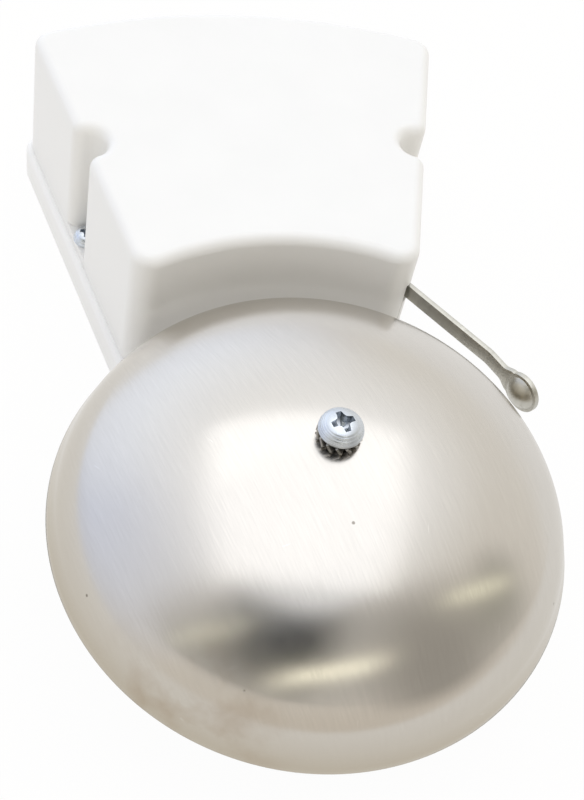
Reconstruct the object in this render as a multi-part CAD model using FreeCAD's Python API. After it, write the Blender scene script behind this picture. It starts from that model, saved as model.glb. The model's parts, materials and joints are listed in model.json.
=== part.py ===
import FreeCAD, Part
import math
import os
from FreeCAD import Vector

os.makedirs("parts", exist_ok=True)

# Electric bell, lying on its back. Millimetres.
# Origin: back face of the base, on the axis of the gong.
# +Z away from the wall, +Y from the gong to the cover, +X to the clapper side.

# Gong
gong_radius = 38.0
gong_rim_z = 20.5
gong_height = 21.7
gong_wall = 0.9
gong_shoulder_radius = 13.6
gong_skirt_length = 4.0
gong_skirt_lean = 18.0
gong_hole_radius = 1.8

# Cover: a fan with straight sides, an outer arc and a hollow arc round the gong
cover_top_z = 32.1
cover_wall = 2.0
cover_draft = 1.5
cover_half_width = 12.5
cover_taper = 14.5
cover_outer_radius = 99.5
cover_outer_arc_y = -1.3
cover_gong_gap = 5.5
cover_upper_corner = 3.3
cover_lower_corner = 3.5
cover_inner_corner = 1.6
cover_top_round = 1.8

# Screw notches in the cover's sides
notch_y = 65.2
notch_bottom_x = 25.0
notch_width = 5.6
notch_mouth_round = 2.2
notch_wall = 1.8
notch_ledge = 2.0

# Base. The steps are from the inner faces of the cover's outer and hollow walls, on the axis
base_height = 6.3
base_lip = 1.14
base_skin = 2.5
base_wall = 2.0
base_top_round = 1.0
base_rib = 1.5
boss_wall = 2.0
wall_screw_radius = 2.1
wall_screw_upper_step = 5.2
wall_screw_lower_step = 4.0
cable_entry_radius = 3.0
cable_entry_x = -14.0
cable_entry_step = 5.4
cable_collar_wall = 1.2
cable_collar_height = 1.5

# Pillar, seat washer, tooth washer and screw of the gong
pillar_radius = 4.0
pillar_flange_radius = 6.5
pillar_flange = 1.5
pillar_boss_radius = 8.5
pillar_boss_height = 3.0
pillar_spigot_radius = 3.0
pillar_spigot_floor = 1.5
seat_washer_radius = 5.0
seat_washer_thickness = 0.8
tooth_washer_radius = 3.15
tooth_washer_thickness = 1.6
tooth_ring_radius = 2.33
tooth_count = 14
tooth_root = 0.4
tooth_width = 1.45
tooth_blade = 0.4
tooth_twist = 55.0
gong_screw_head_radius = 3.1
gong_screw_head_height = 2.1
gong_screw_length = 9.0

# Clearances
press_clearance = 0.02
running_clearance = 0.05
screw_clearance = 0.15
free_gap = 0.3

# Small screws
m3_radius = 1.45
m3_head_radius = 2.4
m3_head_height = 1.9
m25_radius = 1.2
m25_head_radius = 2.1
m25_head_height = 1.6
base_screw_depth = 4.6
screw_end_gap = 0.5

# Rounding and recess of a screw head, as shares of the head's height and radius
head_round_share = 0.42
recess_depth_share = 0.6
recess_reach_share = 0.52
recess_wing_share = 0.13
recess_floor_share = 0.29

# Electromagnet: two coils side by side, axes along Y. The yoke's step is from the outer wall
magnet_x = -2.0
coil_spacing = 15.2
coil_z = 15.6
core_radius = 3.0
bobbin_tube_wall = 0.9
bobbin_flange_radius = 7.0
bobbin_flange = 1.2
yoke_step = 12.25
winding_radius = 6.4
core_nose = 0.9
core_thread_depth = 8.0
core_screw_reach = 6.0

# Steel chassis. Its front is behind the hinge, and the ears stand out from its sides
plate = 1.5
chassis_front_step = 2.6
yoke_margin = 0.9
yoke_half_width = 16.0
ear_radius = 2.7
ear_left_reach = 2.0
ear_right_reach = 4.3
ear_left_step = 3.0
ear_right_step = 5.0
ear_yoke_step = 4.95
spring_tab_width = 6.0
spring_tab_top = 21.5

# Armature, leaf spring and clapper. The hinge's step is from the hollow wall
hinge_x = 17.0
hinge_step = 9.9
armature_thickness = 2.0
armature_left_x = -14.0
armature_hinge_gap = 3.5
armature_half_height = 6.0
air_gap = 1.6
leaf_thickness = 0.3
leaf_half_height = 4.5
leaf_left_x = -13.5
leaf_waist_depth = 1.4
clamp_plate = 1.0
clamp_screw_pitch = 5.0
rivet_radius = 1.0
rivet_head_radius = 1.8
rivet_head_height = 0.7
rivet_head_round = 0.42
rivet_x = (2.5, 8.5)
arm_thickness = 0.9
arm_height = 2.8
arm_foot_left_x = -0.5
arm_foot_bottom_z = 11.5
arm_foot_bend_x = 12.3
arm_bend_radius = 1.5
arm_tip_run = 8.0
arm_tip_bend_radius = 6.0
hammer_azimuth = 27.05
hammer_lift = 1.9
hammer_disc_radius = 3.4
hammer_dome_radius = 2.5
hammer_dome_height = 1.4
strike_gap = 2.7
strike_rest = 0.85

# Contact breaker, in front of the hinge
contact_x = -11.0
contact_rivet_radius = 1.25
contact_rivet_height = 0.8
contact_gap = 0.1
contact_screw_radius = 1.5
contact_screw_length = 7.4
contact_head_radius = 2.5
contact_head_height = 2.0
contact_nut_height = 2.2
contact_nut_flats = 5.5
bracket_tab_step = 5.4
bracket_thickness = 1.2
bracket_width = 8.0
bracket_foot = 5.1
bracket_screw_inset = 2.5
insulator_thickness = 2.0
insulator_margin = 0.8

# Terminals, beside the side wall and a step in from the outer wall
terminal_side_gap = 1.3
terminal_step = 13.2
terminal_pitch = 8.0
terminal_width = 8.0
terminal_length = 16.0
terminal_height = 9.0
terminal_floor = 1.7
terminal_corner = 0.6
terminal_head_height = 1.4
clamp_size = (4.2, 5.0, 5.5)
pocket_clearance = 0.2
wire_hole_z = 4.0
wire_hole_radius = 1.0

# Lead wires
lead_radius = 0.6
lead_bend = 1.6
lead_drop = 3.8
lead_step = 3.0
lead_coil_end = 5.0
lead_link_rise = 1.0
lead_inset = 1.0

# Slot for the clapper arm
slot_clearance = 0.3
slot_reach = 7.0
slot_tongue_gap = 0.15
slot_tongue_drop = 0.6

# How far cutters, and blanks that are trimmed, run past the faces that they meet
PAST = 1.0
FAR_PAST = 10.0
TINY = 0.001
X = Vector(1, 0, 0)
Y = Vector(0, 1, 0)
Z = Vector(0, 0, 1)
ORIGIN = Vector(0, 0, 0)

# Values that follow from the sizes above
tan_draft = math.tan(math.radians(cover_draft))
tan_taper = math.tan(math.radians(cover_taper))
cos_taper = math.cos(math.radians(cover_taper))
cover_inner_radius = gong_radius + cover_gong_gap
notch_radius = notch_width / 2
notch_screw_x = notch_bottom_x + notch_radius
gong_top_z = gong_rim_z + gong_height
pillar_foot_z = base_height + pillar_boss_height
pillar_top_z = gong_top_z - gong_wall - seat_washer_thickness
hollow_wall_y = cover_inner_radius + cover_wall
outer_wall_y = cover_outer_arc_y + cover_outer_radius - cover_wall
wall_screw_upper_y = outer_wall_y - wall_screw_upper_step
wall_screw_lower_y = hollow_wall_y + wall_screw_lower_step
cable_entry_y = outer_wall_y - cable_entry_step
terminal_y = outer_wall_y - terminal_step
terminal_wall_x = cover_half_width + (terminal_y - terminal_length / 2) * tan_taper - cover_wall
terminal_x = terminal_side_gap + terminal_width / 2 - terminal_wall_x
hinge_y = hollow_wall_y + hinge_step
leaf_front_y = hinge_y - leaf_thickness
armature_back_y = hinge_y + armature_thickness
pole_y = armature_back_y + air_gap
bobbin_front_y = pole_y + core_nose
yoke_y = outer_wall_y - yoke_step
bobbin_length = yoke_y - running_clearance - bobbin_front_y
bracket_tab_y = hinge_y - bracket_tab_step
bracket_front_y = bracket_tab_y - bracket_foot
bracket_screw_y = bracket_front_y + bracket_screw_inset
chassis_front_y = hinge_y + chassis_front_step
ear_left = (magnet_x - yoke_half_width - ear_left_reach, chassis_front_y + ear_left_step)
ear_right_low = (magnet_x + yoke_half_width + ear_right_reach, chassis_front_y + ear_right_step)
ear_right_high = (magnet_x + yoke_half_width + ear_right_reach, yoke_y - ear_yoke_step)
arm_middle_z = gong_rim_z + hammer_lift
coil_xs = (magnet_x - coil_spacing / 2, magnet_x + coil_spacing / 2)


def box(x0, x1, y0, y1, z0, z1):
    return Part.makeBox(x1 - x0, y1 - y0, z1 - z0, Vector(x0, y0, z0))


def cylinder(radius, height, foot, axis=Z):
    return Part.makeCylinder(radius, height, foot, axis)


def prism(points, z0, z1):
    corners = [Vector(x, y, z0) for x, y in points]
    outline = Part.makePolygon(corners + corners[:1])
    return Part.Face(outline).extrude(Vector(0, 0, z1 - z0))


def frustum(low, z0, high, z1):
    """Solid with flat sides between two outlines whose sides are parallel."""
    bottom = [Vector(x, y, z0) for x, y in low]
    top = [Vector(x, y, z1) for x, y in high]
    faces = [Part.Face(Part.makePolygon(ring + ring[:1])) for ring in (bottom, top)]
    for i in range(len(bottom)):
        j = (i + 1) % len(bottom)
        side = [bottom[i], bottom[j], top[j], top[i], bottom[i]]
        faces.append(Part.Face(Part.makePolygon(side)))
    return Part.Solid(Part.Shell(faces))


def mirrored(shape):
    return shape.mirror(ORIGIN, X)


def placed(shape, position, axis=Z, spin=0.0):
    """Turn a shape made along +Z to point along axis, then move it."""
    copy = shape.copy()
    if spin:
        copy.rotate(ORIGIN, Z, spin)
    copy.Placement = FreeCAD.Placement(position, FreeCAD.Rotation(Z, axis)).multiply(copy.Placement)
    return copy


def save(name, *solids):
    shape = solids[0] if len(solids) == 1 else Part.makeCompound(list(solids))
    shape.exportStep(f"parts/{name}.step")
    print(name, len(shape.Solids), "valid" if shape.isValid() else "NOT VALID", round(shape.Volume, 1))


def screw(radius, length, head_radius, head_height, drive="cross"):
    """Pan head above z = 0, shank below it."""
    head = cylinder(head_radius, head_height, ORIGIN)
    top_edge = [e for e in head.Edges if e.BoundBox.ZMin > head_height - TINY]
    head = head.makeFillet(head_height * head_round_share, top_edge)
    depth = head_height * recess_depth_share
    half = head_radius * recess_reach_share
    wing = head_radius * recess_wing_share
    floor = head_height - depth
    if drive == "cross":
        cuts = [
            box(-half, half, -wing, wing, floor, head_height + PAST),
            box(-wing, wing, -half, half, floor, head_height + PAST),
            Part.makeCone(wing, head_radius * recess_floor_share, depth, Vector(0, 0, floor)),
        ]
    else:
        cuts = [box(-head_radius - PAST, head_radius + PAST, -wing, wing, floor, head_height + PAST)]
    for cut in cuts:
        head = head.cut(cut)
    return head.fuse(cylinder(radius, length, Vector(0, 0, -length))).removeSplitter()


def m3_screw(length):
    return screw(m3_radius, length, m3_head_radius, m3_head_height)


def m25_screw(length, drive="cross"):
    return screw(m25_radius, length, m25_head_radius, m25_head_height, drive)


def wall_growth(z, inset):
    """How far a drafted wall stands outside its line at the cover's top."""
    return (cover_top_z - z) * tan_draft - inset


def side_half_width(y, growth):
    return cover_half_width + y * tan_taper + growth / cos_taper


def side_quad(growth, y0, y1):
    near = side_half_width(y0, growth)
    far = side_half_width(y1, growth)
    return [(-near, y0), (near, y0), (far, y1), (-far, y1)]


def standing_edges(shape, height, keep):
    """Edges that climb most of the height and pass the test on their centre."""
    return [e for e in shape.Edges if e.BoundBox.ZLength > height * 0.8 and keep(e.CenterOfMass)]


def fan_body(z0, z1, inset, upper_corner, lower_corner):
    """The cover's fan, with every wall moved inwards by inset."""
    low = wall_growth(z0, inset)
    high = wall_growth(z1, inset)
    y0 = cover_inner_radius / 2
    y1 = cover_outer_radius + FAR_PAST
    body = frustum(side_quad(low, y0, y1), z0, side_quad(high, y0, y1), z1)
    height = z1 - z0
    outer_foot = Vector(0, cover_outer_arc_y, z0)
    inner_foot = Vector(0, 0, z0)
    body = body.common(Part.makeCone(cover_outer_radius + low, cover_outer_radius + high, height,
                                     outer_foot))
    body = body.cut(Part.makeCone(cover_inner_radius - low, cover_inner_radius - high, height, inner_foot))
    middle = (cover_inner_radius + cover_outer_radius) / 2
    upper = standing_edges(body, height, lambda c: c.y > middle)
    body = body.makeFillet(upper_corner, upper)
    lower = standing_edges(body, height, lambda c: c.y < cover_inner_radius)
    return body.makeFillet(lower_corner, lower)


def notch_prism(grow, z0, z1):
    """Round-ended notch in the right side wall, opened outwards."""
    radius = notch_radius + grow
    reach = cover_outer_radius
    end = cylinder(radius, z1 - z0, Vector(notch_screw_x, notch_y, z0))
    return end.fuse(box(notch_screw_x, reach, notch_y - radius, notch_y + radius, z0, z1))


# Outline of the gong
def gong_outline():
    """Crown arc, shoulder arc and straight skirt, all tangent; r and z above the rim."""
    lean = math.radians(gong_skirt_lean)
    up = Vector(-math.sin(lean), 0, math.cos(lean))
    inward = Vector(-math.cos(lean), 0, -math.sin(lean))
    skirt_top = Vector(gong_radius, 0, gong_rim_z) + up * gong_skirt_length
    shoulder_centre = skirt_top + inward * gong_shoulder_radius
    rise = gong_top_z - gong_shoulder_radius
    spare = rise ** 2 - shoulder_centre.Length ** 2
    crown_centre = Vector(0, 0, spare / (2 * (rise - shoulder_centre.z)))
    return up, inward, skirt_top, crown_centre, shoulder_centre


def gong_radius_at(z):
    up, inward, skirt_top, crown_centre, shoulder_centre = gong_outline()
    if z <= skirt_top.z:
        return gong_radius - (z - gong_rim_z) * math.tan(math.radians(gong_skirt_lean))
    return shoulder_centre.x + math.sqrt(gong_shoulder_radius ** 2 - (z - shoulder_centre.z) ** 2)


# Clapper line: from the armature's foot to the hammer beside the gong
hammer_angle = math.radians(hammer_azimuth)
hammer_out = Vector(math.cos(hammer_angle), math.sin(hammer_angle), 0)
hammer_along = Vector(math.sin(hammer_angle), -math.cos(hammer_angle), 0)
hammer_distance = gong_radius_at(arm_middle_z) + strike_gap + hammer_dome_height + arm_thickness / 2
hammer_centre = hammer_out * hammer_distance + Z * arm_middle_z
tip_bend = hammer_centre - hammer_along * arm_tip_run
foot_middle_y = leaf_front_y - arm_thickness / 2
foot_bend = Vector(arm_foot_bend_x, foot_middle_y, arm_middle_z)
arm_along = (tip_bend - foot_bend).normalize()
arm_side = Vector(-arm_along.y, arm_along.x, 0)

# The clapper turns until its dome nearly meets the gong
hinge_point = Vector(hinge_x, hinge_y, 0)
hammer_lever = hammer_centre - hinge_point
hammer_inward_rate = -hammer_lever.y * hammer_out.x + hammer_lever.x * hammer_out.y
swing = (strike_gap - strike_rest) / hammer_inward_rate
print("clapper swing in degrees", round(math.degrees(swing), 3))
print("hammer centre", [round(v, 3) for v in hammer_centre])


def strip(points, radii, thickness, z0, z1):
    """Bent metal strip standing on edge, following a centre line in plan."""
    edges = []
    start = points[0]
    for i, radius in enumerate(radii):
        corner = points[i + 1]
        before = (corner - points[i]).normalize()
        after = (points[i + 2] - corner).normalize()
        turn = before.getAngle(after)
        reach = radius * math.tan(turn / 2)
        bisector = (after - before).normalize()
        middle = corner + bisector * (radius / math.cos(turn / 2) - radius)
        arc_start = corner - before * reach
        arc_end = corner + after * reach
        edges.append(Part.makeLine(start, arc_start))
        edges.append(Part.Arc(arc_start, middle, arc_end).toShape())
        start = arc_end
    edges.append(Part.makeLine(start, points[-1]))
    spine = Part.Wire(edges)
    first = (points[1] - points[0]).normalize()
    across = Vector(-first.y, first.x, 0) * (thickness / 2)
    low = Vector(points[0].x, points[0].y, z0)
    high = Vector(points[0].x, points[0].y, z1)
    profile = Part.makePolygon([low - across, low + across, high + across, high - across, low - across])
    return spine.makePipeShell([profile], True, True)


def tube(points):
    """Insulated wire: straight runs joined by tangent arcs."""
    edges = []
    start = points[0]
    for i in range(1, len(points) - 1):
        corner = points[i]
        before = (corner - points[i - 1]).normalize()
        after = (points[i + 1] - corner).normalize()
        turn = before.getAngle(after)
        reach = lead_bend * math.tan(turn / 2)
        middle = corner + (after - before).normalize() * (lead_bend / math.cos(turn / 2) - lead_bend)
        edges.append(Part.makeLine(start, corner - before * reach))
        edges.append(Part.Arc(corner - before * reach, middle, corner + after * reach).toShape())
        start = corner + after * reach
    edges.append(Part.makeLine(start, points[-1]))
    spine = Part.Wire(edges)
    profile = Part.Wire(Part.makeCircle(lead_radius, points[0], points[1] - points[0]))
    return spine.makePipeShell([profile], True, False)


# Room that the clapper arm sweeps through the cover's wall
def slot_prism(margin, z0, z1):
    """Strip of the arm's line, from rest to strike, plus a margin each side."""
    root = foot_bend + arm_along * ((cover_inner_radius - foot_bend.y) / arm_along.y)
    lever = root - hinge_point
    moved = Vector(lever.y, -lever.x, 0) * swing
    rest_side = arm_thickness / 2 + margin
    strike_side = -arm_thickness / 2 + moved.dot(arm_side) - margin
    corners = []
    for along, side in ((-slot_reach, rest_side), (slot_reach, rest_side),
                        (slot_reach, strike_side), (-slot_reach, strike_side)):
        point = root + arm_along * along + arm_side * side
        corners.append((point.x, point.y))
    return prism(corners, z0, z1)


# Base
def base_outline(grow, z0, z1):
    """Fan under the cover that narrows to a round end under the gong's pillar."""
    growth = wall_growth(base_height, 0) + base_lip + grow
    end_radius = side_half_width(0, growth) * cos_taper
    y0 = end_radius * math.sin(math.radians(cover_taper)) * -1
    y1 = cover_outer_radius + FAR_PAST
    fan = prism(side_quad(growth, y0, y1), z0, z1)
    rim = cylinder(cover_outer_radius + growth, z1 - z0, Vector(0, cover_outer_arc_y, z0))
    fan = fan.common(rim)
    fan = fan.makeFillet(cover_upper_corner + base_lip + grow,
                         standing_edges(fan, z1 - z0, lambda c: c.y > cover_inner_radius))
    return fan.fuse(cylinder(end_radius, z1 - z0, Vector(0, 0, z0))).removeSplitter()


def screw_places():
    """Where screws bite into the base, with the radius that each hole needs."""
    hole = m3_radius + running_clearance
    small = m25_radius + running_clearance
    places = [(x, y, hole) for x, y in (ear_left, ear_right_low, ear_right_high)]
    places += [(sign * notch_screw_x, notch_y, hole) for sign in (-1, 1)]
    places.append((contact_x, bracket_screw_y, hole))
    places.append((terminal_x, terminal_y, small))
    return places


def make_base():
    base = base_outline(0, 0, base_height)
    top_edges = [e for e in base.Edges if e.BoundBox.ZMin > base_height - TINY]
    base = base.makeFillet(base_top_round, top_edges)
    recess_top = base_height - base_skin
    recess = base_outline(-base_wall, -PAST, recess_top)
    for x, y, hole in screw_places():
        recess = recess.cut(cylinder(hole + boss_wall, recess_top + PAST, Vector(x, y, -PAST)))
    for y in (wall_screw_upper_y, wall_screw_lower_y):
        recess = recess.cut(cylinder(wall_screw_radius + boss_wall, recess_top + PAST, Vector(0, y, -PAST)))
    recess = recess.cut(cylinder(pillar_boss_radius, recess_top + PAST, Vector(0, 0, -PAST)))
    collar_radius = cable_entry_radius + cable_collar_wall
    entry_foot = Vector(cable_entry_x, cable_entry_y, -PAST)
    recess = recess.cut(cylinder(collar_radius, recess_top + PAST, entry_foot))
    half_rib = base_rib / 2
    reach = cover_outer_radius
    recess = recess.cut(box(-half_rib, half_rib, -reach, wall_screw_upper_y, -PAST, recess_top))
    for y in (cover_inner_radius / 2, chassis_front_y, (notch_y + wall_screw_upper_y) / 2):
        recess = recess.cut(box(-reach, reach, y - half_rib, y + half_rib, -PAST, recess_top))
    base = base.cut(recess)
    base = base.fuse(cylinder(pillar_boss_radius, pillar_boss_height, Vector(0, 0, base_height)))
    collar_foot = Vector(cable_entry_x, cable_entry_y, base_height)
    base = base.fuse(cylinder(collar_radius, cable_collar_height, collar_foot))
    arm_bottom = arm_middle_z - arm_height / 2
    shell = fan_body(base_height, cover_top_z, 0, cover_upper_corner, cover_lower_corner)
    shell = shell.cut(fan_body(base_height, cover_top_z, cover_wall, cover_upper_corner - cover_wall,
                               cover_inner_corner))
    tongue = shell.common(slot_prism(slot_clearance - slot_tongue_gap, base_height - PAST,
                                     arm_bottom - slot_tongue_drop))
    base = base.fuse(tongue)
    for x, y, hole in screw_places():
        hole_foot = Vector(x, y, base_height - base_screw_depth)
        base = base.cut(cylinder(hole, base_screw_depth + PAST, hole_foot))
    for y in (wall_screw_upper_y, wall_screw_lower_y):
        base = base.cut(cylinder(wall_screw_radius, base_height + 2 * PAST, Vector(0, y, -PAST)))
    collar_top = base_height + cable_collar_height
    base = base.cut(cylinder(cable_entry_radius, collar_top + 2 * PAST, entry_foot))
    spigot_foot = Vector(0, 0, pillar_spigot_floor)
    base = base.cut(cylinder(pillar_spigot_radius + press_clearance, gong_top_z, spigot_foot))
    return base.removeSplitter()


# Cover
def make_cover():
    height = cover_top_z - base_height
    plain = fan_body(base_height, cover_top_z, 0, cover_upper_corner, cover_lower_corner)
    notch = notch_prism(0, base_height - PAST, cover_top_z + PAST)
    body = plain.cut(notch).cut(mirrored(notch))
    mouth_x = notch_screw_x + notch_radius / 4
    mouth = standing_edges(body, height, lambda c: abs(c.y - notch_y) < notch_width and abs(c.x) > mouth_x)
    body = body.makeFillet(notch_mouth_round, mouth)
    rim = [e for e in body.Edges if e.BoundBox.ZMin > cover_top_z - TINY]
    body = body.makeFillet(cover_top_round, rim)
    # The ledge under each screw head closes the notch at its foot
    ledge = notch_prism(notch_mouth_round, base_height, base_height + notch_ledge)
    body = body.fuse([plain.common(ledge), plain.common(mirrored(ledge))])
    hollow = fan_body(base_height - PAST, cover_top_z - cover_wall, cover_wall,
                      cover_upper_corner - cover_wall, cover_inner_corner)
    thick_notch = notch_prism(notch_wall, base_height - 2 * PAST, cover_top_z)
    hollow = hollow.cut(thick_notch).cut(mirrored(thick_notch))
    cover = body.cut(hollow)
    arm_top = arm_middle_z + arm_height / 2
    cover = cover.cut(slot_prism(slot_clearance, base_height - PAST, arm_top + slot_tongue_drop))
    for sign in (-1, 1):
        hole_foot = Vector(sign * notch_screw_x, notch_y, base_height - PAST)
        cover = cover.cut(cylinder(m3_radius + screw_clearance, notch_ledge + 2 * PAST, hole_foot))
    return cover.removeSplitter()


def make_cover_screws():
    seat = base_height + notch_ledge
    blank = m3_screw(notch_ledge + base_screw_depth - screw_end_gap)
    return [placed(blank, Vector(sign * notch_screw_x, notch_y, seat), spin=20 * sign) for sign in (-1, 1)]


# Gong and what holds it
def make_gong():
    up, inward, skirt_top, crown_centre, shoulder_centre = gong_outline()
    outward = (shoulder_centre - crown_centre).normalize()
    bisector = (outward - inward).normalize()

    def crown_point(radius, r):
        return Vector(r, 0, crown_centre.z + math.sqrt(radius ** 2 - r ** 2))

    rim = Vector(gong_radius, 0, gong_rim_z)
    inner_rim = rim - X * (gong_wall / math.cos(math.radians(gong_skirt_lean)))
    outer_crown = gong_top_z - crown_centre.z
    inner_crown = outer_crown - gong_wall
    crown_end = crown_centre + outward * outer_crown
    inner_crown_end = crown_centre + outward * inner_crown
    half = crown_end.x / 2
    hole_top = crown_point(outer_crown, gong_hole_radius)
    hole_foot = crown_point(inner_crown, gong_hole_radius)
    edges = [
        Part.makeLine(rim, skirt_top),
        Part.Arc(skirt_top, shoulder_centre + bisector * gong_shoulder_radius, crown_end).toShape(),
        Part.Arc(crown_end, crown_point(outer_crown, half), hole_top).toShape(),
        Part.makeLine(hole_top, hole_foot),
        Part.Arc(hole_foot, crown_point(inner_crown, half), inner_crown_end).toShape(),
        Part.Arc(inner_crown_end, shoulder_centre + bisector * (gong_shoulder_radius - gong_wall),
                 skirt_top + inward * gong_wall).toShape(),
        Part.makeLine(skirt_top + inward * gong_wall, inner_rim),
        Part.makeLine(inner_rim, rim),
    ]
    return Part.Face(Part.Wire(edges)).revolve(ORIGIN, Z, 360)


def make_pillar():
    flange = cylinder(pillar_flange_radius, pillar_flange, Vector(0, 0, pillar_foot_z))
    shaft = cylinder(pillar_radius, pillar_top_z - pillar_foot_z, Vector(0, 0, pillar_foot_z))
    spigot = cylinder(pillar_spigot_radius, pillar_foot_z - pillar_spigot_floor,
                      Vector(0, 0, pillar_spigot_floor))
    pillar = shaft.fuse([flange, spigot])
    hole = m3_radius + running_clearance
    hole_foot = Vector(0, 0, pillar_top_z - gong_screw_length + PAST)
    pillar = pillar.cut(cylinder(hole, gong_screw_length, hole_foot))
    return pillar.removeSplitter()


def make_seat_washer():
    washer = cylinder(seat_washer_radius, seat_washer_thickness, Vector(0, 0, pillar_top_z))
    bore_foot = Vector(0, 0, pillar_top_z - PAST)
    bore = cylinder(gong_hole_radius, seat_washer_thickness + 2 * PAST, bore_foot)
    # The inner crown is a shallow sphere, so the washer stops at its lowest reach
    crown_centre = gong_outline()[3]
    dome = Part.makeSphere(gong_top_z - crown_centre.z - gong_wall, crown_centre)
    return washer.cut(bore).common(dome)


def make_tooth_washer():
    middle = gong_top_z + tooth_washer_thickness / 2
    low = middle - tooth_blade / 2
    washer = cylinder(tooth_ring_radius, tooth_blade, Vector(0, 0, low))
    for i in range(tooth_count):
        tooth = box(tooth_ring_radius - tooth_root, tooth_washer_radius, -tooth_width / 2, tooth_width / 2,
                    -tooth_blade / 2, tooth_blade / 2)
        tooth.rotate(ORIGIN, X, tooth_twist)
        tooth.translate(Vector(0, 0, middle))
        tooth.rotate(ORIGIN, Z, 360 * i / tooth_count)
        washer = washer.fuse(tooth)
    bore_foot = Vector(0, 0, gong_top_z - PAST)
    washer = washer.cut(cylinder(m3_radius + screw_clearance, tooth_washer_thickness + 2 * PAST, bore_foot))
    return washer.removeSplitter()


def make_gong_screw():
    blank = screw(m3_radius, gong_screw_length, gong_screw_head_radius, gong_screw_head_height)
    return placed(blank, Vector(0, 0, gong_top_z + tooth_washer_thickness), spin=15)


# Electromagnet
def make_coil(x):
    """Core, bobbin and winding of one coil, front face at the pole."""
    front = Vector(x, bobbin_front_y, coil_z)
    core = cylinder(core_radius, yoke_y - pole_y, Vector(x, pole_y, coil_z), Y)
    thread_foot = Vector(x, yoke_y - core_thread_depth, coil_z)
    core = core.cut(cylinder(m3_radius + running_clearance, core_thread_depth + PAST, thread_foot, Y))
    tube_radius = core_radius + running_clearance + bobbin_tube_wall
    bobbin = cylinder(tube_radius, bobbin_length, front, Y)
    for offset in (0, bobbin_length - bobbin_flange):
        bobbin = bobbin.fuse(cylinder(bobbin_flange_radius, bobbin_flange, front + Y * offset, Y))
    bore_radius = core_radius + running_clearance
    bobbin = bobbin.cut(cylinder(bore_radius, bobbin_length + 2 * PAST, front - Y * PAST, Y))
    winding_start = front + Y * (bobbin_flange + running_clearance)
    winding_length = bobbin_length - 2 * (bobbin_flange + running_clearance)
    winding = cylinder(winding_radius, winding_length, winding_start, Y)
    winding = winding.cut(cylinder(tube_radius + running_clearance, winding_length + 2 * PAST,
                                   winding_start - Y * PAST, Y))
    return core, bobbin.removeSplitter(), winding


def make_core_screws():
    blank = m3_screw(plate + core_screw_reach)
    return [placed(blank, Vector(x, yoke_y + plate, coil_z), Y) for x in coil_xs]


def ear(centre, toward_x, z0, z1):
    x, y = centre
    pad = cylinder(ear_radius, z1 - z0, Vector(x, y, z0))
    return pad.fuse(box(min(x, toward_x), max(x, toward_x), y - ear_radius, y + ear_radius, z0, z1))


def make_chassis():
    z0 = base_height
    z1 = z0 + plate
    left = magnet_x - yoke_half_width
    right = magnet_x + yoke_half_width
    yoke_top = coil_z + bobbin_flange_radius + yoke_margin
    tab_end = hinge_x + spring_tab_width
    chassis = box(left, right, chassis_front_y, yoke_y + plate, z0, z1)
    chassis = chassis.fuse([
        box(left, right, yoke_y, yoke_y + plate, z0, yoke_top),
        box(right - PAST, tab_end, hinge_y, ear_right_low[1] + ear_radius, z0, z1),
        box(hinge_x, tab_end, hinge_y, hinge_y + plate, z0, spring_tab_top),
        ear(ear_left, left + PAST, z0, z1),
        ear(ear_right_high, right - PAST, z0, z1),
    ])
    for x, y in (ear_left, ear_right_low, ear_right_high):
        hole = Vector(x, y, z0 - PAST)
        chassis = chassis.cut(cylinder(m3_radius + screw_clearance, plate + 2 * PAST, hole))
    for x in coil_xs:
        hole = Vector(x, yoke_y - PAST, coil_z)
        chassis = chassis.cut(cylinder(m3_radius + screw_clearance, plate + 2 * PAST, hole, Y))
    for z in clamp_screw_heights():
        hole = Vector(clamp_screw_x(), hinge_y - PAST, z)
        chassis = chassis.cut(cylinder(m25_radius + running_clearance, plate + 2 * PAST, hole, Y))
    return chassis.removeSplitter()


def make_chassis_screws():
    blank = m3_screw(plate + base_screw_depth - screw_end_gap)
    places = (ear_left, ear_right_low, ear_right_high)
    seat = base_height + plate
    return [placed(blank, Vector(x, y, seat), spin=35 * i) for i, (x, y) in enumerate(places)]


# Armature and clapper
def clamp_screw_x():
    return hinge_x + spring_tab_width / 2


def clamp_screw_heights():
    return (coil_z - clamp_screw_pitch / 2, coil_z + clamp_screw_pitch / 2)


def across_leaf(radius, x, z, y0, y1):
    return cylinder(radius, y1 - y0, Vector(x, y0, z), Y)


def make_armature():
    right = hinge_x - armature_hinge_gap
    low = coil_z - armature_half_height
    high = coil_z + armature_half_height
    bar = box(armature_left_x, right, hinge_y, armature_back_y, low, high)
    fit = rivet_radius + running_clearance
    for x in rivet_x:
        bar = bar.cut(across_leaf(fit, x, coil_z, hinge_y - PAST, armature_back_y + PAST))
    clear = contact_rivet_radius + free_gap
    return bar.cut(across_leaf(clear, contact_x, coil_z, hinge_y - PAST, armature_back_y + PAST))


def make_leaf_spring():
    end = hinge_x + spring_tab_width
    low = coil_z - leaf_half_height
    high = coil_z + leaf_half_height
    leaf = box(leaf_left_x, end, leaf_front_y, hinge_y, low, high)
    waist_left = hinge_x - armature_hinge_gap + free_gap
    for z0, z1 in ((low - PAST, low + leaf_waist_depth), (high - leaf_waist_depth, high + PAST)):
        leaf = leaf.cut(box(waist_left, hinge_x - free_gap, leaf_front_y - PAST, hinge_y + PAST, z0, z1))
    fit = rivet_radius + running_clearance
    for x in rivet_x:
        leaf = leaf.cut(across_leaf(fit, x, coil_z, leaf_front_y - PAST, hinge_y + PAST))
    shank = contact_rivet_radius / 2 + running_clearance
    leaf = leaf.cut(across_leaf(shank, contact_x, coil_z, leaf_front_y - PAST, hinge_y + PAST))
    for z in clamp_screw_heights():
        leaf = leaf.cut(across_leaf(m25_radius + free_gap, clamp_screw_x(), z,
                                    leaf_front_y - PAST, hinge_y + PAST))
    return leaf


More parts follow.
